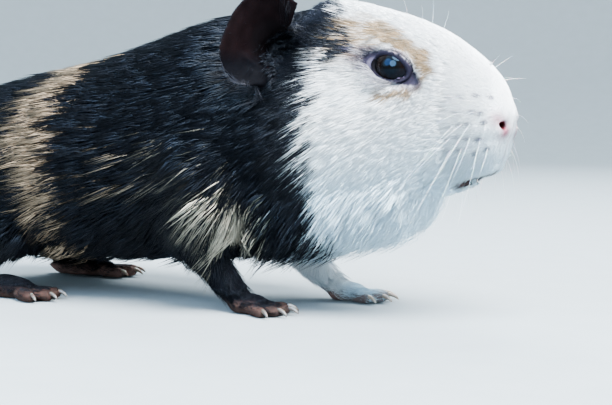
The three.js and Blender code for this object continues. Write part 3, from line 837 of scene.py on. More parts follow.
def painted_low_shade(points, colours):
    """Painted shade: the white fur of throat and lower cheeks is painted a little greyer and bluer, as in
    shade.
    """
    low = ramp(points[:, 2], 74, 42) * ramp(points[:, 0], 50, 60)
    return colours * (1 - low[:, None] * LOW_SHADE_LOSS)


def almond(points, side):
    """Like the place on the lids, but drawn out to the two corners of the eye."""
    place, angle, _ = lid_places(points, side)
    corners = 0.42 * bell(angle + 0.02, 0.40) + 0.26 * bell(np.abs(angle) - 3.0, 0.40)
    return place / (1 + corners + 0.24 * ramp(np.sin(angle), 0, 0.8)), place, angle


def tinted_nostril(points, colours, side):
    centre = mirrored(NOSTRIL, side)
    up, down = (mirrored(NOSTRIL + offset, side) for offset in PINK_REACH)
    halo = np.minimum(distance_to_line(points, centre, up), distance_to_line(points, centre, down))
    colours = paint(colours, PINK, 0.95 * bell(halo, 2.6) * ramp(distance_to(points, centre), 7.5, 3.2))
    # the hole is painted dark red: its red skin with a painted shade inside it
    hole = distance_to_line(points, centre, mirrored(NOSTRIL - 4 * NOSTRIL_WAY, side))
    return paint(colours, NOSTRIL_RED_AND_SHADE, ramp(hole, 2.3, 1.2))


def tinted_lids(points, colours, side):
    """Lilac skin round dark lids. The black rim comes last."""
    lids, place, angle = almond(points, side)
    colours = paint(colours, LID_LILAC, 0.7 * ramp(lids, 1.85, 1.5))
    colours = paint(colours, LID_DARK, ramp(lids + 0.05 * ripple(points, 1.6, 41), 1.58, 1.30))
    rear = ramp(np.abs(angle), 2.7, 3.0) * ramp(place, 1.08, 1.18) * ramp(place, 1.48, 1.3)
    front = bell(angle + 0.12, 0.35) * ramp(place, 1.5, 1.75) * ramp(place, 2.3, 2.0)
    colours = paint(colours, LID_LILAC, 0.5 * rear + 0.1 * front)
    return paint(colours, LID_RIM, ramp(place, 1.20, 1.06))


def dotted_follicles(points, colours, side):
    """A grey dot at each whisker's root, fainter towards the rear: partly the dark root, partly a painted
    shade where the whisker leaves the skin. None is on the nostril.
    """
    for root, row, column in WHISKERS[side]:
        strength = 0.95 - 0.13 * column - 0.05 * (row % 2)
        on_nostril = np.linalg.norm(root - mirrored(NOSTRIL, side)) < 3.2
        dot = ramp(distance_to(points, root), 1.2, 0.5) * (not on_nostril)
        colours = paint(colours, FOLLICLE_DOT_AND_SHADE, strength * dot)
    return colours


def tinted(points, colours):
    # the painted shade on the low white fur comes first
    colours = painted_low_shade(points, colours)
    colours = paint(colours, PINK, 0.4 * philtrum(points + (1.2, 0, -0.5)))
    for side in SIDES:
        colours = tinted_nostril(points, colours, side)
        colours = tinted_lids(points, colours, side)
        colours = dotted_follicles(points, colours, side)
    # a painted shade along the slit between the lips
    mouth = ramp(mouth_line(points), 1.5, 0.8) * ramp(points[:, 0], 108, 111)
    colours = paint(colours, LIP_BROWN_AND_SHADE, 0.95 * mouth)
    folded = np.stack([points[:, 0], np.abs(points[:, 1]), points[:, 2]], 1)
    lip = np.linalg.norm((folded - LIP_SPOT) / LIP_RADII, axis=1)
    return paint(colours, LIP_BROWN_AND_SHADE, ramp(lip + 0.12 * ripple(points, 2.5, 9), 1.25, 0.8))


# %% Colour the skin
EAR_INSIDE, EAR_BACK, EAR_LOBE = (0.0034, 0.0018, 0.0021), (0.003, 0.003, 0.0036), (0.0012, 0.0012, 0.0018)
# EAR_HOLLOW_SHADE is a painted shade that darkens each ear towards its hollow.
EAR_HOLLOW_SHADE, SOLE, CARUNCLE = (0.002, 0.0015, 0.0018), (0.135, 0.078, 0.066), (0.16, 0.12, 0.22)
EAR_HOLLOW = np.array([51.5, 25.5, 93.5])  # where the left ear is darkest
UNDER_HAIR = 0.7  # the skin is darker than the hair on it


def skin_colours(points):
    """The colour of the skin at each point."""
    shares = marking_shares(points)
    colours = UNDER_HAIR * (shares @ COLOURS + shares[:, 2:3] * (tan_colour(points) - TAN))
    toes = is_foot * ramp(points[:, 2], 5.5, 3)
    mottled = (0.25 + 1.2 * ramp(points[:, 1], -5, 5))[:, None] * (1 + 0.12 * ripple(points, 3.0, 8))[:, None]
    colours = colours + (np.array(SOLE) * mottled - colours) * toes[:, None]
    colours = paint(colours, EAR_BACK, is_ear)
    inner = is_ear * ramp(normals[:, 0], -0.2, 0.35)
    ear_tone = (1 + 0.25 * ripple(points, 7, 12))[:, None]
    colours = colours + (np.array(EAR_INSIDE) * ear_tone - colours) * inner[:, None]
    colours = paint(colours, EAR_LOBE, is_ear * ramp(points[:, 2], 92, 85))
    # painted shade in the hollow of each ear
    for side in SIDES:
        hollow = distance_to(points, mirrored(EAR_HOLLOW, side))
        colours = paint(colours, EAR_HOLLOW_SHADE, ramp(hollow, 10, 5) * 0.85 * (is_ear > 0.05))
    colours = tinted(points, colours)
    for side in SIDES:
        place, angle, _ = lid_places(points, side)
        colours = paint(colours, CARUNCLE, ramp(place, 1.03, 0.97) * ramp(np.abs(angle + 0.35), 0.4, 0.15))
    return np.clip(colours, 0.001, 1)


skin_rgb = skin_colours(points)
print("skin coloured, mean", skin_rgb.mean(0).round(3))

# %% [markdown]
# ## The lie of the coat
# Hair runs from the nose back over the head and trunk, turns down over cheeks, flanks and rump, runs down the
# legs and forward over the toes. Round the eyes and out of the ears it runs away from the middle. Combing
# guides by hand could not be repeated, so the lie is one field of directions on the skin, smoothed and laid
# flat on it, that every tuft follows.

# %% Directions
CHEEK_HEIGHTS = (28, 42, 57, 70, 80, 88, 100)  # mm
CHEEK_FALL = (1.4, 1.05, 0.75, 0.55, 0.33, 0.08, 0.0)  # how far hair drops there for each step back
NOSE_WHORL = NOSE_TIP + (-1.0, 0, 1.0)  # all hair of the muzzle runs away from here
LIP_WAY, LEG_WAY, TOE_WAY = np.array([-0.55, 0, -0.85]), np.array([-0.25, 0, -1.0]), np.array([1.0, 0, -0.15])


def unit(vectors):
    return vectors / np.maximum(np.linalg.norm(vectors, axis=1, keepdims=True), 1e-9)


def flattened(vectors, normals):
    """The vectors' parts along the surface, as unit vectors."""
    return unit(vectors - (vectors * normals).sum(1, keepdims=True) * normals)


def backward(fall):
    """Directions that run back and fall by those amounts."""
    return np.stack([-np.ones_like(fall), 0 * fall, -fall], 1)


def coat_flow(points, normals):
    x, y, z = points.T
    fall = 0.22 + 0.40 * ramp(x, -70, -110) + 0.25 * ramp(x, 0, 40) + 0.35 * ramp(z, 44, 26)
    fall += 0.6 * bell(x - 34, 22) * ramp(z, 62, 34)
    flow = backward(fall)
    cheek = backward(np.interp(z, CHEEK_HEIGHTS, CHEEK_FALL) * ramp(x, 114, 94))
    flow += (cheek - flow) * ramp(x, 52, 64)[:, None]
    flow += (unit(points - NOSE_WHORL) * (1, 1, 0.8) - flow) * ramp(x, 104, 116)[:, None]
    lip = ramp(x, 103, 110) * ramp(z, 60, 54) * ramp(z, 46, 49)
    flow += (LIP_WAY - flow) * (0.7 * lip)[:, None]
    for side in SIDES:
        place, _, _ = lid_places(points, side)
        _, along, up = eye_frame(side)
        offset = points - EYE[side]
        away = unit(np.outer(offset @ along, along) + np.outer(offset @ up, up))
        reach = 0.55 + 0.6 * ramp(offset @ along, 0, 5)
        flow += 1.6 * away * np.exp(-np.maximum(place - 1.2, 0) / reach)[:, None] * (place < 8)[:, None]
        on_ear = is_ear * (y * SIDES[side] > 0)
        flow += (unit(points - EAR_CANAL[side]) - flow) * on_ear[:, None]
    flow += (LEG_WAY - flow) * (is_leg * ramp(z, 34, 22))[:, None]
    flow += (TOE_WAY - flow) * is_foot[:, None]
    flow = relax(flattened(flow, normals), edges, 14)
    return flattened(flow, normals)


def leaf_edge(points, normals):
    """1 along the rim of each ear's leaf, 0 on its two faces."""
    edge = np.zeros(len(points))
    for side in SIDES:
        leaf = is_ear * (points[:, 1] * SIDES[side] > 0) * ramp(distance_to(points, EAR_CANAL[side]), 8, 13)
        facing = unit((normals * (leaf * (normals[:, 0] > 0.3))[:, None]).sum(0, keepdims=True))[0]
        edge = np.maximum(edge, leaf * ramp(np.abs(normals @ facing), 0.6, 0.2))
    return edge


flow = coat_flow(points, normals)
ear_rim = leaf_edge(points, normals)
print("directions over", len(flow), "points")

# %% [markdown]
# Length, thickness and height of the tufts change smoothly from nose to rump. One length would look like a
# brush, so three tables along the body give the even growth, and what departs from it follows one by one:
# short hair round eyes, ears and mouth, on legs and toes, and long hair that hangs from the throat.

# %% Length, thickness and height
ALONG = (36, 50, 62, 70, 78, 88, 98, 108, 116, 123, 129)  # mm, from the shoulder to the tip of the nose
LENGTHS = (22, 20, 18.5, 17.5, 15.5, 12.5, 8.6, 5.2, 3.1, 1.9, 1.0)
HALF_WIDTHS = (0.20, 0.17, 0.145, 0.13, 0.118, 0.112, 0.105, 0.095, 0.08, 0.07, 0.06)
CROWN_LENGTH, BELLY_LENGTH, EAR_BASE_LENGTH, LIP_LENGTH = 8.0, 14.0, 3.5, 1.2
THROAT_LENGTH, CHIN_LENGTH = 13.0, 3.4
LIMB_HAIR = {"leg": (7.0, 0.15), "foot": (3.2, 0.10), "ear": (2.2, 0.05)}  # length and half width
CROWD = 0.19  # the finer the tufts, the more of them stand on the same skin


def toward(values, goal, share):
    return values + (goal - values) * np.clip(share, 0, 1)


def throat_hang(points, normals):
    """1 where the hair of throat and chest hangs free below the body, 0 elsewhere."""
    return ramp(normals[:, 2], -0.10, -0.6) * ramp(points[:, 0], 103, 95) * ramp(points[:, 0], 36, 54)


def near_ear(points):
    """Distance in the side view from the ear canal of the same side."""
    return np.min([ear_places(points, side)[0] * np.where(points[:, 1] * SIDES[side] > 0, 1, 9)
                   for side in SIDES], axis=0)


def tuft_sizes(points, normals):
    """Length, half width and height of a tuft over the skin, in mm."""
    x, _, z = points.T
    length, width = np.interp(x, ALONG, LENGTHS), np.interp(x, ALONG, HALF_WIDTHS)
    length = toward(length, np.minimum(length, CROWN_LENGTH), ramp(z, 92, 102) * ramp(x, 46, 60))
    length = toward(length, BELLY_LENGTH, ramp(normals[:, 2], -0.5, -0.9) * ramp(x, 50, 30))
    from_ear = near_ear(points)
    length = toward(length, EAR_BASE_LENGTH, ramp(from_ear, 17, 11) * (1 - is_ear))
    length = toward(length, LIP_LENGTH, ramp(mouth_line(points), 4.0, 2.0))
    near_eye = np.min([lid_places(points, side)[0] for side in SIDES], axis=0)
    before_eye = ramp(x, EYE["right"][0] - 2, EYE["right"][0] + 4)
    lash = 1.0 + (2.2 - 1.6 * before_eye) * np.clip(near_eye - 1.3, 0, 3)
    length = toward(length, lash, ramp(near_eye, 3.0 + before_eye, 1.6))
    width = toward(width, 0.085, ramp(near_eye, 3.2, 1.5))
    for mask, part in ((is_leg, "leg"), (is_foot, "foot"), (is_ear, "ear")):
        length, width = toward(length, LIMB_HAIR[part][0], mask), toward(width, LIMB_HAIR[part][1], mask)
    height = toward(np.maximum(depth, 0.3), 0.45, ramp(near_eye, 2.0, 1.4))
    height = toward(height, np.minimum(height, 1.3), ramp(from_ear, 19, 13) * (1 - is_ear))
    hang = throat_hang(points, normals)
    length = toward(length, np.maximum(length, THROAT_LENGTH), hang * ramp(x, 104, 94))
    length = toward(length, CHIN_LENGTH, ramp(x, 98, 102) * ramp(z, 54, 46))
    return length, width, height + 3.0 * hang


def bald_share(points, normals):
    """1 where no hair grows: lids, nostrils, groove, mouth, soles and the tips of the toes."""
    lids = np.min([almond(points, side)[0] for side in SIDES], axis=0)
    nostril = np.min([distance_to(points, mirrored(NOSTRIL, side)) for side in SIDES], axis=0)
    return np.maximum.reduce([
        ramp(lids + 0.10 * ripple(points, 1.3, 42), 1.54, 1.26), ramp(nostril, 3.2, 1.9),
        ramp(philtrum(points + (1.2, 0, -0.5)), 0.35, 0.7), ramp(mouth_line(points), 0.7, 0.4),
        is_foot * ramp(normals[:, 2], -0.3, -0.6) + (points[:, 2] < 0.8),
        is_foot * ramp(points[:, 2], 3.4, 2.0) * 0.8])


def coat_fields(points, normals):
    """Columns: length, half width and height of a tuft, and how closely tufts stand."""
    length, width, height = tuft_sizes(points, normals)
    inner_ear = is_ear * ramp(normals[:, 0], -0.1, 0.4)
    crowd = (1 - bald_share(points, normals)) * (1 - 0.985 * inner_ear)
    crowd *= (1 + 5 * ear_rim) * (1 + 1.6 * is_foot) * CROWD / np.maximum(width, 0.09)
    return np.stack([length, width, height, crowd], 1)


fields = coat_fields(points, normals)
print("lengths", fields[:, 0].min().round(1), "to", fields[:, 0].max().round(1), "mm")

# %% [markdown]
# ## Growing tufts
# A real coat has more hairs than any model can hold, so each tuft stands for a few that cling together. Roots
# are spread over the skin's triangles by area. Each tuft walks over the skin along the flow, one or two steps
# long, and is lifted more and more towards the surface of the solids. Neighbours lean on a shared lock, which
# makes the coat fall in strands. A particle system would leave loose curves, and the model needs closed
# meshes, so a tuft is a thin closed taper with three sides, bent where it has two steps.

# %% Roots and paths
skin_tree = BVHTree.FromPolygons(points.tolist(), triangles.tolist())
corner_points = points[triangles]
flat_normals = np.cross(corner_points[:, 1] - corner_points[:, 0], corner_points[:, 2] - corner_points[:, 0])
face_area = np.linalg.norm(flat_normals, axis=1) / 2
face_flow = unit(flow[triangles].mean(1))
face_middle = corner_points.mean(1)
TUFT_SHARE = 1.0


def scatter(chosen, count, rng):
    """Roots spread over the chosen triangles: (triangle of each root, its corner weights)."""
    weight = face_area * fields[triangles, 3].mean(1) * chosen
    total = np.cumsum(weight)
    at = np.searchsorted(total, (np.arange(count) + rng.random(count)) * total[-1] / count)
    at = np.minimum(at, len(weight) - 1)
    u, v = rng.random((2, count))
    over = u + v > 1
    u, v = np.where(over, 1 - u, u), np.where(over, 1 - v, v)
    return at, np.stack([1 - u - v, u, v], 1)


def spread(values, at, weights):
    """Values on the points carried over to the roots."""
    return np.einsum("nc,nc...->n...", weights, values[triangles[at]])


def walk(start, start_normal, direction, step, steps):
    """Paths over the skin that follow the flow: (places, normals), one row a tuft, from root to tip."""
    path, ups = [start], [start_normal]
    here, way = start, direction
    for _ in range(steps):
        nearest = [skin_tree.find_nearest(point) for point in (here + way * step[:, None]).tolist()]
        here = np.array([found[0] for found in nearest])
        up = np.array([found[1] for found in nearest])
        face = np.array([found[2] for found in nearest])
        way = flattened(0.5 * way + 0.5 * face_flow[face], up)
        path.append(here)
        ups.append(up)
    return np.stack(path, 1), np.stack(ups, 1)


print("skin area", round(float(face_area.sum()) / 100), "square cm")

# %% Locks and bent paths
LOCK_SIZE = 8  # tufts that lean together
LOCK_REACH = 3.5  # mm from the leader, within which a tuft is drawn fully into its lock
FLOOR_GAP = 0.35  # mm, no hair goes lower


def locks(root, rng):
    """For each tuft the number of the lock leader nearest to it."""
    leaders = rng.choice(len(root), max(1, len(root) // LOCK_SIZE), replace=False)
    tree = kdtree.KDTree(len(leaders))
    for number, place in enumerate(root[leaders].tolist()):
        tree.insert(place, number)
    tree.balance()
    return leaders[np.array([tree.find(place)[1] for place in root.tolist()])]


def grown_paths(at, weights, steps, rng):
    """Bent centre lines of tufts, their side directions and the lock that each belongs to."""
    length, width, height, _ = spread(fields, at, weights).T
    root = spread(points, at, weights)
    up = unit(spread(normals, at, weights))
    leader = locks(root, rng)
    own, shared = rng.normal(size=(4, len(root))), rng.normal(size=(4, len(root)))[:, leader]
    loose = 1 - 0.55 * ramp(root[:, 0], 46, 64)  # the coat of the head lies smoother
    length = length * np.clip(1 + 0.10 * own[0] + 0.12 * loose * shared[0], 0.55, 1.35)
    way = flattened(spread(flow, at, weights), up)
    aside = np.cross(way, up)
    yaw = 0.08 * own[1] + 0.16 * loose * shared[1]
    way = flattened(way + aside * yaw[:, None], up)
    path, ups = walk(root, up, way, length / steps, steps)
    t = np.linspace(0, 1, steps + 1)
    uneven = ramp(height, 1.0, 5.0)
    unlike = 0.86 + (0.04 + 0.04 * uneven) * own[2] + (0.02 + 0.025 * uneven) * shared[2]
    tip_height = height * np.clip(unlike, 0.35, 1.1)
    belly = 0.5 * ramp(up[:, 2], -0.3, -0.8) * ramp(root[:, 2], 14, 20)
    hang = np.maximum(throat_hang(root, up), belly)
    tip_height = tip_height * (1 + hang * np.clip(0.05 + 0.30 * shared[2] + 0.12 * own[2], -0.4, 0.9))
    rise = tip_height[:, None] * (1 - (1 - t) ** 2.3) - (0.12 * width[:, None] + 0.1) * (1 - t)
    sway = 0.05 * length[:, None] * (own[3] * 0.5 + loose * shared[3])[:, None] * np.sin(t * 2.4)
    path = path + ups * rise[:, :, None] + aside[:, None] * sway[:, :, None]
    near_leader = np.clip(LOCK_REACH / (1 + np.linalg.norm(root - root[leader], axis=1)), 0.2, 1)
    pull = (loose * (0.2 + 0.22 * uneven))[:, None] * t ** 1.6 * near_leader[:, None]
    path = path + (path[leader] - path) * pull[:, :, None]
    path[:, :, 2] = np.maximum(path[:, :, 2], FLOOR_GAP)
    return path, ups, width * np.clip(1 + 0.18 * own[0], 0.6, 1.5), leader


# %% Closed tapers
CORNER_TURNS = np.radians([90, 210, 330])  # of the three-sided section, with a ridge on top
PATCH = 0.003  # the size of a tuft on the bake map


def taper_faces(steps):
    """Triangles of one closed taper whose rings hold points 0-2, 3-5, ... and whose tip is the last point."""
    faces = [(0, 2, 1)]
    for ring in range(steps - 1):
        for corner in range(3):
            a, b = 3 * ring + corner, 3 * ring + (corner + 1) % 3
            faces += [(a, b, b + 3), (a, b + 3, a + 3)]
    last = 3 * (steps - 1)
    return np.array(faces + [(last + corner, last + (corner + 1) % 3, last + 3) for corner in range(3)])


def tapers(path, ups, width):
    """Points (tuft, point, axis) and triangles of tapers along the paths."""
    count, steps = len(path), path.shape[1] - 1
    t = np.linspace(0, 1, steps + 1)[:steps]
    radius = width[:, None] * (0.72 + 0.55 * np.sin(np.pi * np.clip(t * 1.25, 0, 1)) - 0.30 * t)
    along = np.gradient(path, axis=1)[:, :steps]
    across = np.cross(along, ups[:, :steps])
    across /= np.maximum(np.linalg.norm(across, axis=2, keepdims=True), 1e-9)
    over = np.cross(across, along)
    over /= np.maximum(np.linalg.norm(over, axis=2, keepdims=True), 1e-9)
    rings = [path[:, :steps] + radius[:, :, None] * (across * np.cos(turn) + 0.8 * over * np.sin(turn))
             for turn in CORNER_TURNS]
    rings = np.stack(rings, 2).reshape(count, 3 * steps, 3)
    made = np.concatenate([rings, path[:, steps:]], 1)
    template = taper_faces(steps)
    faces = template[None] + (np.arange(count) * (3 * steps + 1))[:, None, None]
    return made, faces.reshape(-1, 3), template


print("a tuft of 2 steps has", len(taper_faces(2)), "triangles")

# %% [markdown]
# ## The bake map
# A baked colour needs a place on a map for every face. Unwrapping each tuft by itself would fill the map with
# slivers, so the map lays out the skin as flat charts, one for each of six directions that it can face, with
# ears and limbs on charts of their own. A tuft is a small patch at its root's place on that layout.

# %% Charts of the skin
CHART_GROUPS = ("body", "ear_left", "ear_right", "limb_left", "limb_right")
CHART_GAP = 3.0  # mm


def chart_numbers(owner_here, up):
    """The chart of each face: six in a group, one for each direction."""
    group = np.zeros(len(owner_here), int)
    for number, (parts, side) in enumerate((parts, side) for parts in (("ear",), LIMBS) for side in SIDES):
        members = [FLESH.index(f"{part}_{side}") for part in parts]
        group[np.isin(owner_here, members)] = number + 1
    axis = np.argmax(np.abs(up), axis=1)
    facing = np.take_along_axis(up, axis[:, None], 1)[:, 0] > 0
    return group * 6 + axis * 2 + facing


def flat_places(chart, places):
    """Places seen along the direction that their chart faces."""
    axis = (chart % 6) // 2
    first = np.where(axis == 0, places[:, 1], places[:, 0])
    return np.stack([first, np.where(axis == 2, places[:, 1], places[:, 2])], 1)


def shelf_layout(chart, flat):
    """Where each chart starts on the sheet, and the sheet's size, all in mm."""
    low = {number: flat[chart == number].min(0) for number in np.unique(chart)}
    size = {number: flat[chart == number].max(0) - low[number] + CHART_GAP for number in low}
    widest = max(extent[0] for extent in size.values()) * 1.5
    start, pen, shelf = {}, np.zeros(2), 0.0
    for number in sorted(size, key=lambda number: -size[number][1]):
        if pen[0] + size[number][0] > widest:
            pen = np.array([0.0, pen[1] + shelf])
            shelf = 0.0
        start[number] = pen - low[number]
        shelf = max(shelf, size[number][1])
        pen = pen + (size[number][0], 0)
    return start, max(widest, pen[1] + shelf)


ear_base = (part_mask(owner, "ear") > 0) & (is_ear < 0.5)
owner = np.where(ear_base, FLESH.index("head"), owner)
face_owner = owner[triangles[:, 0]]
face_chart = chart_numbers(face_owner, unit(flat_normals))
chart_start, sheet_size = shelf_layout(face_chart, flat_places(face_chart, face_middle))
print(len(chart_start), "charts on a sheet of", round(float(sheet_size)), "mm")


def bake_places(at, root):
    """Place of each root on the bake map, from 0 to 1."""
    chart = face_chart[at]
    starts = np.array([chart_start.get(number, (0, 0)) for number in range(6 * len(CHART_GROUPS))])
    return (flat_places(chart, root) + starts[chart]) / sheet_size


# %% [markdown]
# ## Coat material and colour
# Every tuft takes one colour, drawn by chance from the shares of the markings at its root, so borders break
# up into single strands. A texture would smear across them. The colour is stored on the points, darker at the
# root where less light arrives. Pale hair lets light through, and dark hair has a cool sheen.

# %% Coat material
def coat_material(name, roughness, specular, **constants):
    made, nodes, links, shader = material(name, roughness=roughness, Specular_IOR_Level=specular, **constants)
    colour_from_points(nodes, links, shader, "hair_colour")
    return made


RIM_GREY = (0.06, 0.06, 0.075)  # the fine hairs along the edge of the ear
COAT_LIGHT = coat_material("coat_hair_light", 0.5, 0.1, Subsurface_Weight=0.35, Subsurface_Scale=0.0012,
                           Subsurface_Radius=(0.8, 0.9, 1.0))
COAT_DARK = coat_material("coat_hair_dark", 0.42, 0.09, Specular_Tint=(0.80, 0.90, 1.0, 1.0))
print("coat materials:", COAT_LIGHT.name, COAT_DARK.name)

# %% Draw the colours
STRAY_DIM, GRIZZLE_DIM = 0.22, 0.4  # how bright a lone white or tan hair is among black ones
LEAST_LIGHT = 0.4  # share of pale hair from which a piece counts as pale


def hair_colours(root, shown, rim, leader, rng):
    """One colour a tuft, and whether most of the markings there are dark."""
    white, _, tan, face_tan = marking_shares(root, shown).T
    count = len(root)
    draw = 0.55 * rng.random(count)[leader] + 0.45 * rng.random(count)
    draw = np.clip(0.5 + (draw - 0.5) * 1.2, 0.001, 0.999)
    light = white + face_tan
    kind = np.where(draw < light, 0, np.where(draw < light + tan, 2, 1))
    wash = ramp(face_tan / np.maximum(light, 1e-6) * (1 + 0.25 * rng.normal(size=count)), 0.0, 0.6)
    dim = np.where(tan < 0.25, GRIZZLE_DIM, 1.0)[:, None]
    colour = np.where(kind[:, None] == 2, tan_colour(root) * dim, COLOURS[kind])
    colour = np.where(kind[:, None] == 0, colour + (COLOURS[3] - colour) * wash[:, None], colour)
    stray = (kind == 0) & (light < 0.2)
    colour = np.where(stray[:, None], colour * STRAY_DIM, colour)
    tone = 1 + 0.05 * rng.normal(size=count) + 0.07 * rng.normal(size=count)[leader]
    tone = np.where(kind == 0, np.minimum(tone, 1.07), 1 + (tone - 1) * 3.0)
    colour = colour * np.clip(tone, 0.4, 1.8)[:, None]
    colour = paint(colour, RIM_GREY, rim * 0.8)
    # tinted lays the same tints and painted shades on the hair as on the skin
    return np.clip(tinted(root, colour), 0.002, 0.95), light.mean() < LEAST_LIGHT


# %% Build the coat pieces
REGIONS = (  # name, from x, to x, tufts a side, steps
    ("muzzle", 111, 140, 17000, 1), ("face", 86, 111, 18500, 2), ("cheek", 60, 86, 17500, 2),
    ("neck", 20, 60, 10500, 2), ("flank", -50, 20, 7500, 2), ("rump", -140, -50, 6500, 2))
LIMB_TUFTS, EAR_TUFTS = 15000, 3500
ROOT_SHADE = 0.86


def coat_piece(name, chosen, count, steps, seed):
    rng = np.random.default_rng(seed)
    at, weights = scatter(chosen, int(count * TUFT_SHARE), rng)
    path, ups, width, leader = grown_paths(at, weights, steps, rng)
    root = spread(points, at, weights)
    made, faces, template = tapers(path, ups, width)
    colour, dark = hair_colours(root, path.mean(1), spread(ear_rim, at, weights), leader, rng)
    obj = mesh_object(name, made.reshape(-1, 3), faces, COAT_DARK if dark else COAT_LIGHT)
    t = np.append(np.repeat(np.linspace(0, 1, steps + 1)[:steps], 3), 1.0)  # of every point, from root to tip
    shade = ROOT_SHADE + (1 - ROOT_SHADE) * np.sqrt(t)
    rgba = np.ones((len(root), len(t), 4), np.float32)
    rgba[:, :, :3] = colour[:, None] * shade[None, :, None]
    layer = obj.data.attributes.new("hair_colour", "FLOAT_COLOR", "POINT")
    layer.data.foreach_set("color", rgba.ravel())
    patch = np.stack([t - 0.5, np.append(np.tile([0.0, -0.5, 0.5], steps), 0.0)], 1) * PATCH
    corner_uv = bake_places(at, root)[:, None] + patch[template.ravel()][None]
    uv = obj.data.uv_layers.new(name="OFBake")
    uv.data.foreach_set("uv", corner_uv.astype(np.float32).ravel())
    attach(obj, "root")
    print(name, len(root), "tufts,", len(faces), "triangles")


middle_x, middle_y = face_middle[:, 0], face_middle[:, 1]
on_ear, on_limb = part_mask(face_owner, "ear") > 0, part_mask(face_owner, *LIMBS) > 0
for number, (region, low, high, count, steps) in enumerate(REGIONS):
    for side in SIDES:
        there = (middle_x >= low) & (middle_x < high) & (middle_y * SIDES[side] >= 0) & ~on_limb & ~on_ear
        coat_piece(f"coat_{region}_{side}", there, count, steps, 100 + 2 * number + (side == "left"))
for side in SIDES:
    here = middle_y * SIDES[side] >= 0
    coat_piece(f"coat_limbs_{side}", on_limb & here, LIMB_TUFTS, 1, 150 + (side == "left"))
    coat_piece(f"coat_ear_{side}", on_ear & here, EAR_TUFTS, 1, 160 + (side == "left"))

# %% [markdown]
# ## The skin's piece
# Skin only shows on nose, lids, ears, soles and between the hairs. It reads its colour from the points, like
# the coat, and is matt with fine pores. Modelled pores would need millions of faces, so they are a bump.

# %% Skin piece
PORES, PORE_DEPTH = 1400.0, 0.0003  # along a metre, and in metres


def put_colour(mesh, name, rgb):
    layer = mesh.attributes.new(name, "FLOAT_COLOR", "POINT")
    layer.data.foreach_set("color", np.hstack([rgb, np.ones((len(rgb), 1))]).astype(np.float32).ravel())


def skin_material():
    made, nodes, links, shader = material("skin", roughness=0.6, Specular_IOR_Level=0.008,
                                          Subsurface_Weight=0.06, Subsurface_Scale=0.001)
    colour_from_points(nodes, links, shader, "skin_colour")
    place, pores = nodes.new("ShaderNodeTexCoord"), nodes.new("ShaderNodeTexNoise")
    pores.inputs["Scale"].default_value = PORES
    bump = nodes.new("ShaderNodeBump")
    bump.inputs["Strength"].default_value = 0.25
    bump.inputs["Distance"].default_value = PORE_DEPTH
    links.new(place.outputs["Object"], pores.inputs["Vector"])
    links.new(pores.outputs["Fac"], bump.inputs["Height"])
    links.new(bump.outputs["Normal"], shader.inputs["Normal"])
    return made


skin = mesh_object("skin", points, triangles, skin_material())
put_colour(skin.data, "skin_colour", skin_rgb)
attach(skin, "root")
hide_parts(*FLESH)
print("skin replaces", len(FLESH), "solids")

# %% [markdown]
# ## Eyes
# An eye is a wet ball whose clear front bulges over a nearly black iris. It could be two shells, a clear one
# over a painted one, but an eye as dark as this shows no depth. So it is one smooth ball, built in rings
# round the gaze axis: bulge and iris are then simple functions of how far forward a point lies.

# %% Eyes
EYE_AROUND, EYE_RINGS = 48, 30
BULGE = 0.045  # of the radius
PUPIL, IRIS = (0.0015, 0.0015, 0.0015), (0.0028, 0.0016, 0.0012)


def eye_material():
    made, nodes, links, shader = material("eye_wet", roughness=0.03, IOR=1.34, Specular_IOR_Level=0.14,
                                          Specular_Tint=(0.30, 0.60, 1.0, 1.0))
    colour_from_points(nodes, links, shader, "eye_colour")
    return made


def unit_ball():
    """Points of a ball of radius 1 in rings round z, and its triangles."""
    polar = np.linspace(0, np.pi, EYE_RINGS + 1)[1:-1, None]
    turn = np.linspace(0, 2 * np.pi, EYE_AROUND, endpoint=False)
    ring = [np.sin(polar) * np.cos(turn), np.sin(polar) * np.sin(turn), np.cos(polar) + 0 * turn]
    ball = np.concatenate([[[0, 0, 1.0]], np.stack(ring, 2).reshape(-1, 3), [[0, 0, -1.0]]])
    here, after, last = np.arange(EYE_AROUND), (np.arange(EYE_AROUND) + 1) % EYE_AROUND, len(ball) - 1
    back = np.stack([np.full_like(here, last), last - EYE_AROUND + after, last - EYE_AROUND + here], 1)
    return ball, np.concatenate([ring_faces(EYE_RINGS - 1, EYE_AROUND), back])


def eyeball(side, made):
    gaze, _, _ = eye_frame(side)
    ball, faces = unit_ball()
    forward = ball[:, 2]
    swollen = EYE_RADIUS * (1 + BULGE * ramp(forward, 0.72, 0.95))
    turned = np.array(Vector(gaze).to_track_quat("Z", "Y").to_matrix())
    obj = mesh_object(f"eyeball_{side}", EYE[side] + (ball * swollen[:, None]) @ turned.T, faces, made)
    iris = ramp(forward, 0.62, 0.72) * ramp(forward, 0.93, 0.88)
    put_colour(obj.data, "eye_colour", paint(np.tile(PUPIL, (len(ball), 1)), IRIS, iris))
    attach(obj, "root")
    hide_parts(f"eye_{side}")
    print(obj.name, len(faces), "triangles")


EYE_WET = eye_material()
for side in SIDES:
    eyeball(side, EYE_WET)

# %% [markdown]
# ## Claws
# A claw is a curved cone of horn, pale on pale toes and dark on dark ones. Its solid has the right size but
# flat facets. Sculpting fourteen claws anew would gain nothing, so each is a copy of its solid, rounded by
# subdivision, with streaky horn on it.

# %% Claws
HORN_STREAKS = 900.0  # along a metre
HORN_TONES = {"left": ((0.22, 0.155, 0.11), (0.40, 0.31, 0.23)),
              "right": ((0.030, 0.024, 0.021), (0.105, 0.085, 0.070))}


def horn_material(name, dark, light):
    made, nodes, links, shader = material(name, roughness=0.36, Subsurface_Weight=0.2, Subsurface_Scale=0.001)
    mottled(nodes, links, shader, HORN_STREAKS, dark, light)
    return made


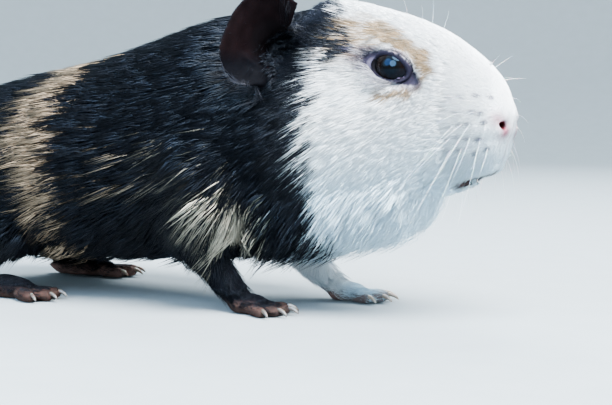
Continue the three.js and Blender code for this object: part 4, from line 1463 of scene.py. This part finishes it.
HORN = {"left": horn_material("claw_pale", *HORN_TONES["left"]),
        "right": horn_material("claw_dark", *HORN_TONES["right"])}


def horn_claw(node):
    flat_points, flat_faces = merged_copy(node, 0.0)
    horn = mesh_object(f"horn_{node}", flat_points, flat_faces, HORN["left" if "left" in node else "right"])
    rounded = horn.modifiers.new("rounded", "SUBSURF")
    rounded.levels = rounded.render_levels = 2
    mesh = evaluated(horn)
    horn = linked(f"horn_{node}", mesh)
    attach(horn, "root")
    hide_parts(node)


CLAWS = [node for node in sorted(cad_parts) if node.startswith("claw")]
for node in CLAWS:
    horn_claw(node)
print(len(CLAWS), "claws")

# %% [markdown]
# ## Whiskers
# A whisker is a stiff hair that leaves its root outwards, forward for the front ones and back for the rear
# ones, and sags a little. A few single ones stand over the eye, on the nose and under the chin. They could be
# curves with a bevel, but a curve's taper is awkward to set for many at once. So plain lines are drawn first,
# and a Geometry Nodes tree turns each into a thin tapered tube.

# %% Whisker lines
WHISKER_POINTS = 12
SINGLE_HAIRS = (  # where on the left side in mm, which way, and length in mm
    ((99, 8, 95), (0.3, 0.25, 0.9), 13), ((95, 8.5, 96), (0.1, 0.25, 0.95), 15),
    ((80, 22, 72), (-0.2, 0.9, 0.1), 12), ((121, 3, 84.5), (0.75, 0.3, 0.6), 9),
    ((124.5, 3.4, 80.5), (0.9, 0.35, 0.2), 9), ((113, 4, 45), (0.2, 0.45, -0.85), 13),
    ((110, 6, 45), (0.0, 0.5, -0.85), 11), ((107, 4, 44), (-0.1, 0.35, -0.9), 13))
SINGLE_SAG = (-0.15, 0, -0.15)


def whisker_line(root, way, sag, length):
    t = np.linspace(0, 1, WHISKER_POINTS)[:, None]
    return root + np.outer(t, way) * length + t ** 2 * np.array(sag) * length


def whisker_lines():
    rng = np.random.default_rng(77)
    lines = []
    for side, sign in SIDES.items():
        for root, row, column in WHISKERS[side]:
            forward = 0.45 - 0.24 * column * (1 if row else 0.5) + 0.12 * rng.normal()
            outward = sign * (0.95 if row else 1.5)
            upward = 0.25 - 0.30 * row + 0.10 * rng.normal()
            way = unit(np.array([[forward, outward, upward]]))[0]
            length = (11 if row else 8) + (6.5 if row else 3) * column + 3 * rng.random()
            lines.append(whisker_line(root, way, (-0.20, -0.05 * sign, -0.30), length))
        for start, way, length in SINGLE_HAIRS:
            place = np.array(skin_tree.find_nearest(mirrored(np.array(start, float), side).tolist())[0])
            lines.append(whisker_line(place, mirrored(np.array(way), side), SINGLE_SAG, length))
    return lines


# %% Whisker tubes
ROOT_RADIUS, TIP_SHARE, TUBE_SIDES = 0.052, 0.12, 5  # mm, of the root's radius, and round a tube
WHISKER_WHITE = (0.88, 0.90, 0.92, 1)


def tube_tree(made):
    """A tree that makes tapered tubes along lines, and the identifiers of its two sizes."""
    tree = bpy.data.node_groups.new("tapered_tubes", "GeometryNodeTree")
    tree.interface.new_socket("Geometry", in_out="INPUT", socket_type="NodeSocketGeometry")
    thick = tree.interface.new_socket("Root Radius", in_out="INPUT", socket_type="NodeSocketFloat")
    sides = tree.interface.new_socket("Sides", in_out="INPUT", socket_type="NodeSocketInt")
    tree.interface.new_socket("Geometry", in_out="OUTPUT", socket_type="NodeSocketGeometry")
    nodes, links = tree.nodes, tree.links
    given, out = nodes.new("NodeGroupInput"), nodes.new("NodeGroupOutput")
    curve = nodes.new("GeometryNodeMeshToCurve")
    along, taper = nodes.new("GeometryNodeSplineParameter"), nodes.new("ShaderNodeMapRange")
    taper.inputs["To Min"].default_value, taper.inputs["To Max"].default_value = 1.0, TIP_SHARE
    size = nodes.new("ShaderNodeMath")
    size.operation = "MULTIPLY"
    circle, tube = nodes.new("GeometryNodeCurvePrimitiveCircle"), nodes.new("GeometryNodeCurveToMesh")
    circle.inputs["Radius"].default_value = 1.0
    tube.inputs["Fill Caps"].default_value = True
    whole, painted = nodes.new("GeometryNodeRealizeInstances"), nodes.new("GeometryNodeSetMaterial")
    painted.inputs["Material"].default_value = made
    links.new(given.outputs["Geometry"], curve.inputs["Mesh"])
    links.new(along.outputs["Factor"], taper.inputs["Value"])
    links.new(taper.outputs["Result"], size.inputs[0])
    links.new(given.outputs["Root Radius"], size.inputs[1])
    links.new(size.outputs["Value"], tube.inputs["Scale"])
    links.new(given.outputs["Sides"], circle.inputs["Resolution"])
    links.new(curve.outputs["Curve"], tube.inputs["Curve"])
    links.new(circle.outputs["Curve"], tube.inputs["Profile Curve"])
    links.new(tube.outputs["Mesh"], whole.inputs["Geometry"])
    links.new(whole.outputs["Geometry"], painted.inputs["Geometry"])
    links.new(painted.outputs["Geometry"], out.inputs["Geometry"])
    return tree, thick.identifier, sides.identifier


def whiskers_piece():
    lines = whisker_lines()
    mesh = bpy.data.meshes.new("whisker_lines")
    starts = [WHISKER_POINTS * number for number in range(len(lines))]
    steps = [(start + step, start + step + 1) for start in starts for step in range(WHISKER_POINTS - 1)]
    mesh.from_pydata((np.concatenate(lines) * MM).tolist(), steps, [])
    obj = linked("whiskers", mesh)
    made, _, _, shader = material("whisker_hair", roughness=0.35, Subsurface_Weight=0.3,
                                  Subsurface_Scale=0.0005)
    shader.inputs["Base Color"].default_value = WHISKER_WHITE
    tree, thick, sides = tube_tree(made)
    grow = obj.modifiers.new("tubes", "NODES")
    grow.node_group = tree
    grow[thick], grow[sides] = ROOT_RADIUS * MM, TUBE_SIDES
    mesh = evaluated(obj)
    whiskers = linked("whiskers", mesh)
    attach(whiskers, "root")
    print("whiskers:", len(lines), "hairs,", len(mesh.polygons), "faces")


whiskers_piece()
